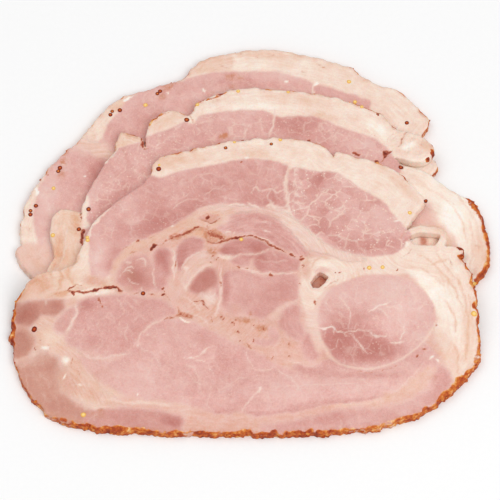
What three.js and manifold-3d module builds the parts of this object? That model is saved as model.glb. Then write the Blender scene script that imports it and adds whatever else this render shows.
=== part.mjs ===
// Three carved slices of cooked ham, fanned on a flat surface in the order they were cut.
// Each slice is a limp sheet of even thickness. The back slice lies flat, and each later slice rests on
// the ones below it and droops to the surface past their hidden front edges.
// Units are millimetres, +Z is up, and +Y runs from the front slice towards the back one.
import * as THREE from "three";
import { mergeVertices } from "three/addons/utils/BufferGeometryUtils.js";
import Module from "manifold-3d";

const wasm = await Module();
wasm.setup();

// Driving dimensions
const SLICE_THICKNESS = 4.0;
const REST_GAP = 0.3; // air between a slice and what it rests on
const SHOULDER = 5.5; // how far a slice stays up past a lower slice's edge
const DROOP = 14.0; // the distance over which it then comes down
const SHEET_WIDTH = 221.0; // the grid that the draped sheets are cut from
const SHEET_DEPTH = 208.0;
const GRID_STEP = 6.5;
const EDGE_STEP = 2.9; // spacing of the points along an outline
const CUTTER_HEIGHT = 40.0; // taller than the whole fan, so a cutter passes right through it
const RIND_WAVE = 0.5; // unevenness of the browned rind along an outline
const FLAP_WIDTH = 3.2;
const FLATNESS = 0.01; // triangles that lie flatter to each other than this become one

// Each outline runs clockwise seen from above, as stretches of smooth curve that meet at corners.
// A stretch starts where the one before it ends, and rough ones follow the crumbly rind.
const stretch = (...points) => ({ points, rough: false });
const rind = (...points) => ({ points, rough: true });

const FRONT_OUTLINE = [
  // the strip of outer fat along the top, torn once and ending in a blunt tip
  stretch([-40.5, 33.5], [-30, 37], [-12, 41.5], [11, 44], [30, 41], [37, 34.5]),
  stretch([38.5, 37]),
  stretch([56, 31.5], [66.5, 25.5], [77, 12.5]),
  stretch([72, 4.5], [68.5, -1]),
  // the notch between that strip and the fat of the right-hand side
  stretch([69.5, -6.5], [73, -10], [88.5, -8.5]),
  stretch([93, -9], [93.5, -12], [90.5, -13]),
  // the browned rind, down the right, along the front and up the left
  rind([95.5, -19.5], [97.5, -31], [99, -50.5], [97.5, -62.5], [88, -74.5], [74, -85.5], [52.5, -93.5]),
  rind([21, -95.5], [-21, -95.5], [-56.5, -94], [-75, -91.5], [-84.5, -87.5]),
  rind([-94.5, -77], [-101, -61], [-103.5, -47], [-101.5, -36], [-94.5, -26.5]),
  // the left end, where fat and the top muscle meet
  stretch([-90.5, -23.5], [-82.5, -22], [-76.5, -19.5]),
  stretch([-72.5, -9], [-69.5, -0.5], [-61.5, 9], [-46.5, 21]),
  stretch([-43.5, 26.5]),
];

const MIDDLE_OUTLINE = [
  // the flap of fat at the left end
  stretch([-87.5, 2.5], [-85, 9], [-81, 10.5], [-75, 9]),
  stretch([-74, 5]),
  stretch([-74, 11.5]),
  // the muscle's rounded left side
  stretch([-71.5, 19], [-66.5, 29], [-63.5, 35], [-59, 41]),
  stretch([-60, 44], [-57.5, 50]),
  stretch([-53, 48.5], [-48, 46.5]),
  stretch([-46.5, 40.5]),
  stretch([-46.5, 47.5]),
  // the strip of outer fat, torn once near its left end
  stretch([-45, 54.5], [-38.5, 60], [-32.5, 60.5], [-28, 58]),
  stretch([-25, 60.5]),
  stretch([-24.5, 64.5]),
  stretch([-15.5, 69], [-2.5, 72.5], [18, 71], [38, 67.5], [57.5, 59.5], [66.5, 50]),
  // the round lobe at that strip's right end
  stretch([71.5, 49.5], [78, 46], [82, 41.5], [80.5, 37], [75, 34], [64.5, 36.5]),
  stretch([67, 32.5]),
  stretch([77.5, 29.5], [87.5, 21], [96.5, 18]),
  // the browned rind at the right
  rind([101, 13.5], [103.5, 4.5], [105, -7], [104, -16], [98, -23.5]),
  // the part that the front slice covers
  stretch([93, -32.5], [82, -49.5], [64.5, -62.5], [21.5, -71], [-30, -72], [-66.5, -63.5], [-84.5, -46]),
  stretch([-90, -32.5], [-88.5, -21], [-85.5, -13], [-87, -5.5]),
];

const BACK_OUTLINE = [
  // the strip of outer fat along the back
  stretch([-22.5, 89.5], [-4.5, 94.5], [12, 95.5], [27.5, 92], [46.5, 86]),
  stretch([51.5, 81], [61, 75.5], [68, 73], [81, 58.5]),
  stretch([77, 51]),
  stretch([76, 43.5]),
  stretch([81, 38.5], [83.5, 33.5], [79, 27.5]),
  // the part that the other two slices cover
  stretch([77, 9.5], [67.5, -18], [52, -38.5], [17, -50], [-26, -52], [-62.5, -45], [-84, -32.5], [-97, -18.5]),
  // the left end, and the rim from there up to the back
  stretch([-100.5, -14.5], [-102.5, -8]),
  stretch([-100, -4.5]),
  stretch([-101, 2], [-98.5, 18], [-93.5, 26.5], [-87, 36.5], [-73.5, 51.5]),
  stretch([-67.5, 61], [-58.5, 70], [-46, 74.5], [-30, 80]),
];

// The hole left by a vein in the front slice, and the tear in the middle slice's fat.
const VEIN_HOLE = [[26, -28], [28, -25], [30, -23], [32, -23.5], [34, -25.5], [32, -29], [29.5, -31], [27, -31]];
const FAT_TEAR = [[60.5, 40.5], [63, 39.5], [60, 35.5]];

// The middle line of the ribbon of fat that curls across the front slice's notch.
const CURLED_FLAP = [[66, -8.5], [68, -5], [70.5, -3], [74.5, -2], [79.5, -2.5], [82.5, -2.5], [84.5, -4], [84, -7], [82, -10.5]];

const toVector = ([x, y]) => new THREE.Vector2(x, y);

// Evenly spaced points along a smooth curve through the given ones.
function samples(vectors, step) {
  const curve = vectors.length > 2
    ? new THREE.SplineCurve(vectors)
    : new THREE.LineCurve(...vectors);
  return curve.getSpacedPoints(Math.max(1, Math.round(curve.getLength() / step)));
}

// Moves the inner points of a rough stretch in and out by a wave of two lengths.
function roughen(points) {
  return points.map((point, i) => {
    if (i === 0 || i === points.length - 1) return point;
    const along = points[i + 1].clone().sub(points[i - 1]).normalize();
    const out = RIND_WAVE * (0.6 * Math.sin(1.9 * i) + 0.4 * Math.sin(0.83 * i + 1.2));
    return new THREE.Vector2(point.x - along.y * out, point.y + along.x * out);
  });
}

// The closed polygon of an outline.
function polygonOf(outline) {
  const polygon = [];
  let last = toVector(outline.at(-1).points.at(-1));
  for (const { points, rough } of outline) {
    const run = samples([last, ...points.map(toVector)], EDGE_STEP);
    polygon.push(...(rough ? roughen(run) : run).slice(1));
    last = toVector(points.at(-1));
  }
  return polygon;
}

// The distance from a point to a polygon, which is zero inside it.
function distanceOutside(polygon, point) {
  let nearest = Infinity;
  let inside = false;
  polygon.forEach((end, i) => {
    const start = polygon.at(i - 1);
    const edge = end.clone().sub(start);
    const offset = point.clone().sub(start);
    const share = THREE.MathUtils.clamp(offset.dot(edge) / edge.lengthSq(), 0, 1);
    nearest = Math.min(nearest, offset.distanceTo(edge.clone().multiplyScalar(share)));
    const crosses = (end.y > point.y) !== (start.y > point.y);
    if (crosses && offset.x < (edge.x * offset.y) / edge.y) inside = !inside;
  });
  return inside ? 0 : nearest;
}

// The height of a slice's underside at a point, given the slices below it.
function undersideOver(lowerSlices, point) {
  const heights = lowerSlices.map(({ polygon, underside }) => {
    const lift = underside(point) + SLICE_THICKNESS + REST_GAP;
    const past = (distanceOutside(polygon, point) - SHOULDER) / DROOP;
    return lift * (1 - THREE.MathUtils.smoothstep(past, 0, 1));
  });
  return Math.max(0, ...heights);
}

// A closed geometry as a manifold solid.
function toSolid(geometry) {
  const bare = geometry.clone();
  bare.deleteAttribute("normal");
  bare.deleteAttribute("uv");
  const merged = mergeVertices(bare, 1e-4);
  return new wasm.Manifold(new wasm.Mesh({
    numProp: 3,
    vertProperties: merged.attributes.position.array,
    triVerts: new Uint32Array(merged.index.array),
  }));
}

function toGeometry(solid) {
  const { vertProperties, triVerts } = solid.getMesh();
  const geometry = new THREE.BufferGeometry();
  geometry.setAttribute("position", new THREE.BufferAttribute(vertProperties, 3));
  geometry.setIndex(new THREE.BufferAttribute(triVerts, 1));
  geometry.computeVertexNormals();
  return geometry;
}

// A draped sheet over the whole grid: two copies of one grid, a thickness apart, joined round the rim.
// Every sheet has the same grid, so a sheet's underside keeps an even gap to the top of the one below.
function drapedSheet(underside) {
  const columns = Math.round(SHEET_WIDTH / GRID_STEP);
  const rows = Math.round(SHEET_DEPTH / GRID_STEP);
  const grid = new THREE.PlaneGeometry(SHEET_WIDTH, SHEET_DEPTH, columns, rows);
  const place = grid.attributes.position;
  const count = place.count;
  const positions = new Float32Array(count * 6);
  for (let i = 0; i < count; i++) {
    const x = place.getX(i);
    const y = place.getY(i);
    const z = underside(new THREE.Vector2(x, y));
    positions.set([x, y, z + SLICE_THICKNESS], i * 3);
    positions.set([x, y, z], (count + i) * 3);
  }
  const faces = [];
  for (let i = 0; i < grid.index.count; i += 3) {
    const [a, b, c] = grid.index.array.subarray(i, i + 3);
    faces.push(a, b, c, count + a, count + c, count + b);
  }
  const corner = (row, column) => row * (columns + 1) + column;
  const rim = [
    ...Array.from({ length: rows }, (_, i) => corner(i, 0)),
    ...Array.from({ length: columns }, (_, i) => corner(rows, i)),
    ...Array.from({ length: rows }, (_, i) => corner(rows - i, columns)),
    ...Array.from({ length: columns }, (_, i) => corner(0, columns - i)),
  ];
  rim.forEach((here, i) => {
    const next = rim[(i + 1) % rim.length];
    faces.push(here, count + here, count + next, here, count + next, next);
  });
  const geometry = new THREE.BufferGeometry();
  geometry.setAttribute("position", new THREE.BufferAttribute(positions, 3));
  geometry.setIndex(faces);
  return toSolid(geometry);
}

// A vertical cutter with the given plan.
function cutter(polygon) {
  const geometry = new THREE.ExtrudeGeometry(new THREE.Shape(polygon), {
    depth: CUTTER_HEIGHT,
    bevelEnabled: false,
  });
  return toSolid(geometry.translate(0, 0, -CUTTER_HEIGHT / 2));
}

// The plan of a ribbon of even width along a smooth middle line.
function ribbonPlan(middle, width) {
  const points = samples(middle.map(toVector), EDGE_STEP / 2);
  const side = (sign) => points.map((point, i) => {
    const before = points[Math.max(i - 1, 0)];
    const after = points[Math.min(i + 1, points.length - 1)];
    const along = after.clone().sub(before).normalize();
    return new THREE.Vector2(point.x - sign * along.y * width / 2, point.y + sign * along.x * width / 2);
  });
  return [...side(1), ...side(-1).reverse()];
}

// One slice: its outline, the height of its underside and the plan cut from the draped sheet.
function makeSlice(outline, lowerSlices) {
  const polygon = polygonOf(outline);
  const underside = (point) => undersideOver(lowerSlices, point);
  return { polygon, underside, plan: cutter(polygon), sheet: drapedSheet(underside) };
}

const back = makeSlice(BACK_OUTLINE, []);
const middle = makeSlice(MIDDLE_OUTLINE, [back]);
const front = makeSlice(FRONT_OUTLINE, [back, middle]);
middle.plan = middle.plan.subtract(cutter(FAT_TEAR.map(toVector)));
front.plan = front.plan
  .subtract(cutter(VEIN_HOLE.map(toVector)))
  .add(cutter(ribbonPlan(CURLED_FLAP, FLAP_WIDTH)));

const HAM_PINK = { color: 0xdca5a0, roughness: 0.45, metalness: 0 };

const fan = new THREE.Group();
for (const [name, slice] of Object.entries({ slice_back: back, slice_middle: middle, slice_front: front })) {
  const mesh = new THREE.Mesh(
    toGeometry(slice.sheet.intersect(slice.plan).simplify(FLATNESS)),
    new THREE.MeshStandardMaterial(HAM_PINK),
  );
  mesh.name = name;
  fan.add(mesh);
}

// The origin is on the surface that the fan lies on, under the middle of its box.
const middleOfBox = new THREE.Box3().setFromObject(fan).getCenter(new THREE.Vector3());
fan.position.set(-middleOfBox.x, -middleOfBox.y, 0);

const ham = new THREE.Group();
ham.add(fan);

export default ham;
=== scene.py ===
"""Three carved slices of cooked ham, fanned on a pale floor in the order they were cut.

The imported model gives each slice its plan. The looks are built over it: every slice is one closed sheet
whose face carries its muscles, seams, veins and cracks as painted layers, with a browned crumbly rind
at its rim, and mustard seeds pressed into it.

Plans, marks and thicknesses are in millimetres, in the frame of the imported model. Blender's own lengths
are metres, so MM turns one into the other.
"""

from __future__ import annotations

import logging
import math
import random
from dataclasses import dataclass
from enum import Enum

import bmesh
import bpy
import numpy as np
from mathutils import Matrix, Vector, noise
from mathutils.kdtree import KDTree

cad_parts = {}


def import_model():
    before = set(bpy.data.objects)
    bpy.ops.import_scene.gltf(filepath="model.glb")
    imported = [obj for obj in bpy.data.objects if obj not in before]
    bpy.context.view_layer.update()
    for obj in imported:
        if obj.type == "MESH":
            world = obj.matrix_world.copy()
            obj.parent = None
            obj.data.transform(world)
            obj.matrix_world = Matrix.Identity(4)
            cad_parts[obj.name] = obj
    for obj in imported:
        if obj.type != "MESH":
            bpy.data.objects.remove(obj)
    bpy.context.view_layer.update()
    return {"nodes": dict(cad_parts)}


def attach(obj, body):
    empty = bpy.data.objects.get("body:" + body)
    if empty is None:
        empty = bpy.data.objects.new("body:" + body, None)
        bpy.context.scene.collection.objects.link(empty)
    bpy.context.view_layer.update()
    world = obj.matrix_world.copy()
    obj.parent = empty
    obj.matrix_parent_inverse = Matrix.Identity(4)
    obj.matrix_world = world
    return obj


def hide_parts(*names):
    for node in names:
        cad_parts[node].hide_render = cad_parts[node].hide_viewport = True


LOG = logging.getLogger("ham")

MM = 0.001
SLICE_THICKNESS = 4.0
REST_GAP = 0.3  # air between a slice and what it rests on
SHOULDER = 5.5  # how far a slice stays up past a lower slice's edge
DROOP = 14.0  # the distance over which it then comes down
OUTLINE_STEP = 0.5  # spacing of the points along a finished outline
BASE_CELL = 1.6  # cell of a slice's underside
RIM_ROUND = 0.9  # how far in from the rim the face starts to turn down
RIM_DROP = 0.35
WALL_ROWS = 5
WALL_BROWN = 0.66  # how browned the outer side of a weak rind is
HOLE_SHADE = 0.22  # how dark the painted shade on the sides of the vein's hole is
VEIN_DEPTH = 20.0  # that hole is further than this from the rim
SEED_RISE = 0.07  # how far a seed's rim stands over the face

Point = tuple[float, float]
Points = tuple[Point, ...]


class Layer(Enum):
    """The painted layers of a slice's face, one number per vertex each."""

    FAT = "fat"  # 0 is lean, 1 is fat
    DEPTH = "depth"  # 0 is pale meat, 1 the darkest red
    WARM = "warm"  # 0 is white fat, 1 is peach
    NET = "net"  # strength of the marbling
    STREAK = "streak"  # strength of the fibres
    BROWN = "brown"  # brownish cast of dry meat
    RIND = "rind"  # 1 is fully browned
    PIT = "pit"  # painted shade in cracks, gaps and holes, partly the meat's own dark red there, and real dark specks
    STAIN = "stain"  # amber stain of the spices, and in a few marks painted shade
    SINK = "sink"  # depth below the face in millimetres


Tints = dict[Layer, float]


def tint(**values: float) -> Tints:
    """Layer values by the layers' names in lower case."""
    return {Layer[name.upper()]: value for name, value in values.items()}


def lean(depth: float, net: float = 0.25, **others: float) -> Tints:
    """The tints of plain meat of a given depth of colour."""
    return tint(fat=0.0, depth=depth, net=net, streak=0.0, brown=0.0, warm=0.4) | tint(**others)


def fatty(warm: float, fat: float = 1.0, **others: float) -> Tints:
    """The tints of fat of a given warmth."""
    return tint(fat=fat, warm=warm, streak=0.4) | tint(**others)


def tissue(fat: float, warm: float, **others: float) -> Tints:
    """The tints of the soft pale tissue between muscles, which is partly fat."""
    return tint(fat=fat, warm=warm, depth=0.3, net=0.3, brown=0.0, streak=0.4) | tint(**others)


# Plane geometry


def smooth_curve(points: Points, closed: bool, step: float = 1.3) -> np.ndarray:
    """Samples a Catmull-Rom curve.

    Args:
        points: The points the curve goes through.
        closed: Whether the curve comes back to its first point.
        step: The rough spacing of the samples.

    Returns:
        The samples, one row each.
    """
    knots = np.array(points, float)
    if len(knots) < 3:
        return knots
    if closed:
        knots = np.vstack([knots[-1], knots, knots[:2]])
    else:
        knots = np.vstack([2 * knots[0] - knots[1], knots, 2 * knots[-1] - knots[-2]])
    rows = []
    for before, start, end, after in zip(knots, knots[1:], knots[2:], knots[3:]):
        count = max(1, round(float(np.linalg.norm(end - start)) / step))
        for share in np.arange(count) / count:
            rows.append(
                0.5
                * (
                    2 * start
                    + (end - before) * share
                    + (2 * before - 5 * start + 4 * end - after) * share**2
                    + (3 * start - before - 3 * end + after) * share**3
                )
            )
    if not closed:
        rows.append(knots[-2])
    return np.array(rows)


def nearest_on(line: np.ndarray, at: np.ndarray, closed: bool) -> tuple[np.ndarray, np.ndarray, np.ndarray]:
    """Finds the nearest point of a polyline to each of many points.

    Args:
        line: The polyline's points.
        at: The points to measure from.
        closed: Whether the polyline is a loop.

    Returns:
        The distances, the lengths along the line at the nearest points, and the nearest points.
    """
    best = np.full(len(at), np.inf)
    along = np.zeros(len(at))
    nearest = np.zeros_like(at)
    ends = np.roll(line, -1, axis=0) if closed else line[1:]
    travelled = 0.0
    for start, end in zip(line, ends):
        edge = end - start
        length = float(np.hypot(*edge))
        if length < 1e-9:
            continue
        share = np.clip(((at - start) @ edge) / length**2, 0.0, 1.0)
        foot = start + share[:, None] * edge
        gap = np.hypot(at[:, 0] - foot[:, 0], at[:, 1] - foot[:, 1])
        closer = gap < best
        best[closer] = gap[closer]
        along[closer] = travelled + share[closer] * length
        nearest[closer] = foot[closer]
        travelled += length
    return best, along, nearest


def inside(loops: list[np.ndarray], at: np.ndarray) -> np.ndarray:
    """Whether each point is inside the area bounded by the loops."""
    result = np.zeros(len(at), bool)
    for loop in loops:
        for start, end in zip(loop, np.roll(loop, -1, axis=0)):
            spans = (start[1] > at[:, 1]) != (end[1] > at[:, 1])
            if spans.any():
                slope = (end[0] - start[0]) / (end[1] - start[1])
                result ^= spans & (at[:, 0] < start[0] + (at[:, 1] - start[1]) * slope)
    return result


def close_points(loop: np.ndarray) -> np.ndarray:
    """A loop's points with more between them, OUTLINE_STEP apart."""
    rows = []
    for start, end in zip(loop, np.roll(loop, -1, axis=0)):
        count = max(1, round(float(np.hypot(*(end - start))) / OUTLINE_STEP))
        rows.extend(start + (end - start) * share for share in np.arange(count) / count)
    return np.array(rows)


class Contour:
    """Closed loops in plan, and how far points are from them."""

    def __init__(self, loops: list[np.ndarray]) -> None:
        """Sorts the loops' close points for quick searches."""
        self.loops = loops
        points = np.vstack([close_points(loop) for loop in loops])
        self.tree = KDTree(len(points))
        for index, (x, y) in enumerate(points):
            self.tree.insert((x, y, 0), index)
        self.tree.balance()

    def gap(self, at: np.ndarray) -> np.ndarray:
        """The distance from each point to the loops, which is negative outside them."""
        gap = np.array([self.tree.find((x, y, 0))[2] for x, y in at])
        near = gap < 1.5
        if near.any():
            gap[near] = np.min([nearest_on(loop, at[near], closed=True)[0] for loop in self.loops], axis=0)
        return np.where(inside(self.loops, at), gap, -gap)

    def outward(self, at: np.ndarray) -> np.ndarray:
        """The direction in plan that leads out of the loops at points near them."""
        here = self.gap(at)
        slopes = [here - self.gap(at + np.array(move)) for move in ((0.8, 0.0), (0.0, 0.8))]
        out = np.stack(slopes, axis=1)
        return out / (np.hypot(*out.T)[:, None] + 1e-6)


def smoothstep(value: np.ndarray) -> np.ndarray:
    """The usual smooth ramp from 0 to 1."""
    share = np.clip(value, 0.0, 1.0)
    return share * share * (3 - 2 * share)


def field_of(at: np.ndarray, size: float, seed: float) -> np.ndarray:
    """Noise from about -1 to 1 at each point, with lumps of a given size."""
    return np.array([noise.noise((x / size, y / size, seed)) for x, y in at])


# Marks on a slice's face


@dataclass(frozen=True)
class Area:
    """A smooth closed shape, such as a muscle that the knife cut across.

    Args:
        edge: The points that its edge goes through.
        tints: The layer values inside it.
        fade: The width over which its edge fades.
        ragged: How far its edge wanders.
        centre: The centre that its fibres curve round, where they show.
    """

    edge: Points
    tints: Tints
    fade: float = 0.7
    ragged: float = 0.5
    centre: Point | None = None

    def reach(self) -> tuple[np.ndarray, np.ndarray]:
        """The lowest and highest corner that the mark can touch."""
        edge = np.array(self.edge)
        room = 3.0 + self.fade + 2 * self.ragged
        return edge.min(0) - room, edge.max(0) + room

    def mask(self, at: np.ndarray) -> np.ndarray:
        """How far each point is inside the shape, from 0 to 1."""
        curve = smooth_curve(self.edge, closed=True)
        gap = nearest_on(curve, at, closed=True)[0]
        signed = np.where(inside([curve], at), gap, -gap)
        return smoothstep(signed / (1.3 * self.fade) + 0.5)


@dataclass(frozen=True)
class Line:
    """A tapering stroke, such as a seam of fat, a vein or a crack.

    Args:
        path: The points that its middle goes through.
        width: Its width at the middle.
        tints: The layer values on it.
        fade: The width over which its edge fades.
        ragged: How far it wanders.
        taper: The length over which each end narrows.
        twigs: How many short side branches it has.
    """

    path: Points
    width: float
    tints: Tints
    fade: float = 0.5
    ragged: float = 0.5
    taper: float = 4.0
    twigs: int = 0

    def reach(self) -> tuple[np.ndarray, np.ndarray]:
        """The lowest and highest corner that the mark can touch."""
        path = np.array(self.path)
        room = 1.0 + self.width + self.fade + 2 * self.ragged + (4.0 if self.twigs else 0.0)
        return path.min(0) - room, path.max(0) + room

    def _stroke(self, curve: np.ndarray, width: float, at: np.ndarray) -> np.ndarray:
        """The mask of one tapering stroke."""
        gap, along, _ = nearest_on(curve, at, closed=False)
        total = float(np.hypot(*np.diff(curve, axis=0).T).sum())
        taper = min(self.taper, total / 2)
        ends = np.clip(np.minimum(along, total - along) / taper, 0.0, 1.0)
        half = width / 2 * (0.25 + 0.75 * np.sqrt(ends))
        return smoothstep((half - gap) / self.fade + 0.5)

    def mask(self, at: np.ndarray) -> np.ndarray:
        """How far each point is on the stroke or its twigs, from 0 to 1."""
        curve = smooth_curve(self.path, closed=False)
        result = self._stroke(curve, self.width, at)
        draw = random.Random(round(self.path[0][0] * 8 + self.path[-1][1] * 64))
        for _ in range(self.twigs):
            root = draw.randrange(1, len(curve))
            heading = math.atan2(*(curve[root] - curve[root - 1])[::-1])
            heading += draw.choice((-1, 1)) * draw.uniform(0.5, 1.2)
            length = draw.uniform(1.2, 4.0)
            bend = draw.uniform(-0.5, 0.5)
            middle = curve[root] + 0.5 * length * np.array([math.cos(heading), math.sin(heading)])
            tip = middle + 0.5 * length * np.array([math.cos(heading + bend), math.sin(heading + bend)])
            twig = np.array([curve[root], middle, tip])
            result = np.maximum(result, 0.8 * self._stroke(twig, self.width * 0.6, at))
        return result


@dataclass(frozen=True)
class Spot:
    """A soft ellipse that shades what is under it, or a small mark of its own.

    Args:
        at: Its centre.
        size: Its half length and half width.
        tints: The layer values at its centre.
        turn: The angle of its length from +X, in degrees.
        fade: The share of its size over which it fades.
        shade: Whether the values are added rather than laid over.
        ragged: How far its edge wanders.
    """

    at: Point
    size: Point
    tints: Tints
    turn: float = 0.0
    fade: float = 0.8
    shade: bool = False
    ragged: float = 0.5

    def reach(self) -> tuple[np.ndarray, np.ndarray]:
        """The lowest and highest corner that the mark can touch."""
        room = max(self.size) * (1 + self.fade) + 2 * self.ragged
        return np.array(self.at) - room, np.array(self.at) + room

    def mask(self, at: np.ndarray) -> np.ndarray:
        """How strongly the ellipse covers each point, from 0 to 1."""
        angle = math.radians(self.turn)
        x, y = (at - np.array(self.at)).T
        long = (x * math.cos(angle) + y * math.sin(angle)) / self.size[0]
        wide = (y * math.cos(angle) - x * math.sin(angle)) / self.size[1]
        return smoothstep((1 + self.fade - np.hypot(long, wide)) / (2 * self.fade))


Mark = Area | Line | Spot


def vein(*path: Point, width: float = 0.7, warm: float = 0.3, twigs: int = 3, fat: float = 0.85) -> Line:
    """A thin branching vein of fat."""
    return Line(path, width, tint(fat=fat, warm=warm, pit=0.0), fade=0.7, ragged=0.9, twigs=twigs)


def crack(*path: Point, width: float = 0.8, depth: float = 0.8, pit: float = 1.0, stain: float = 0.0) -> Line:
    """A thin crack between muscles, sunk a little, whose dark red is partly the meat's own and partly painted shade."""
    return Line(path, width + 0.15, tint(pit=pit, stain=stain, sink=0.5 * depth), fade=0.9, ragged=0.9, taper=3.0)


def seam(*path: Point, width: float = 2.0, warm: float = 0.5, fat: float = 0.9, fade: float = 1.2) -> Line:
    """A soft pale line: a seam of fat between muscles, and in two places a painted highlight along a crack."""
    return Line(path, width, tint(fat=fat, warm=warm, net=0.0), fade=fade, ragged=0.8)


def deepen(x: float, y: float, long: float, wide: float, amount: float, turn: float = 0.0) -> Spot:
    """A soft patch in which the meat's colour is darker, or paler where the amount is negative; a few stand for painted
    shade beside an upper slice's edge.
    """
    return Spot((x, y), (long, wide), tint(depth=amount), turn, shade=True)


def fleck(x: float, y: float, long: float, wide: float, turn: float = 0.0, **values: float) -> Spot:
    """A small mark with a crisp edge."""
    return Spot((x, y), (long, wide), tint(**values), turn, fade=0.6, ragged=1.2)


# Every list runs from the broad tissues to the fine marks laid over them.

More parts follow.
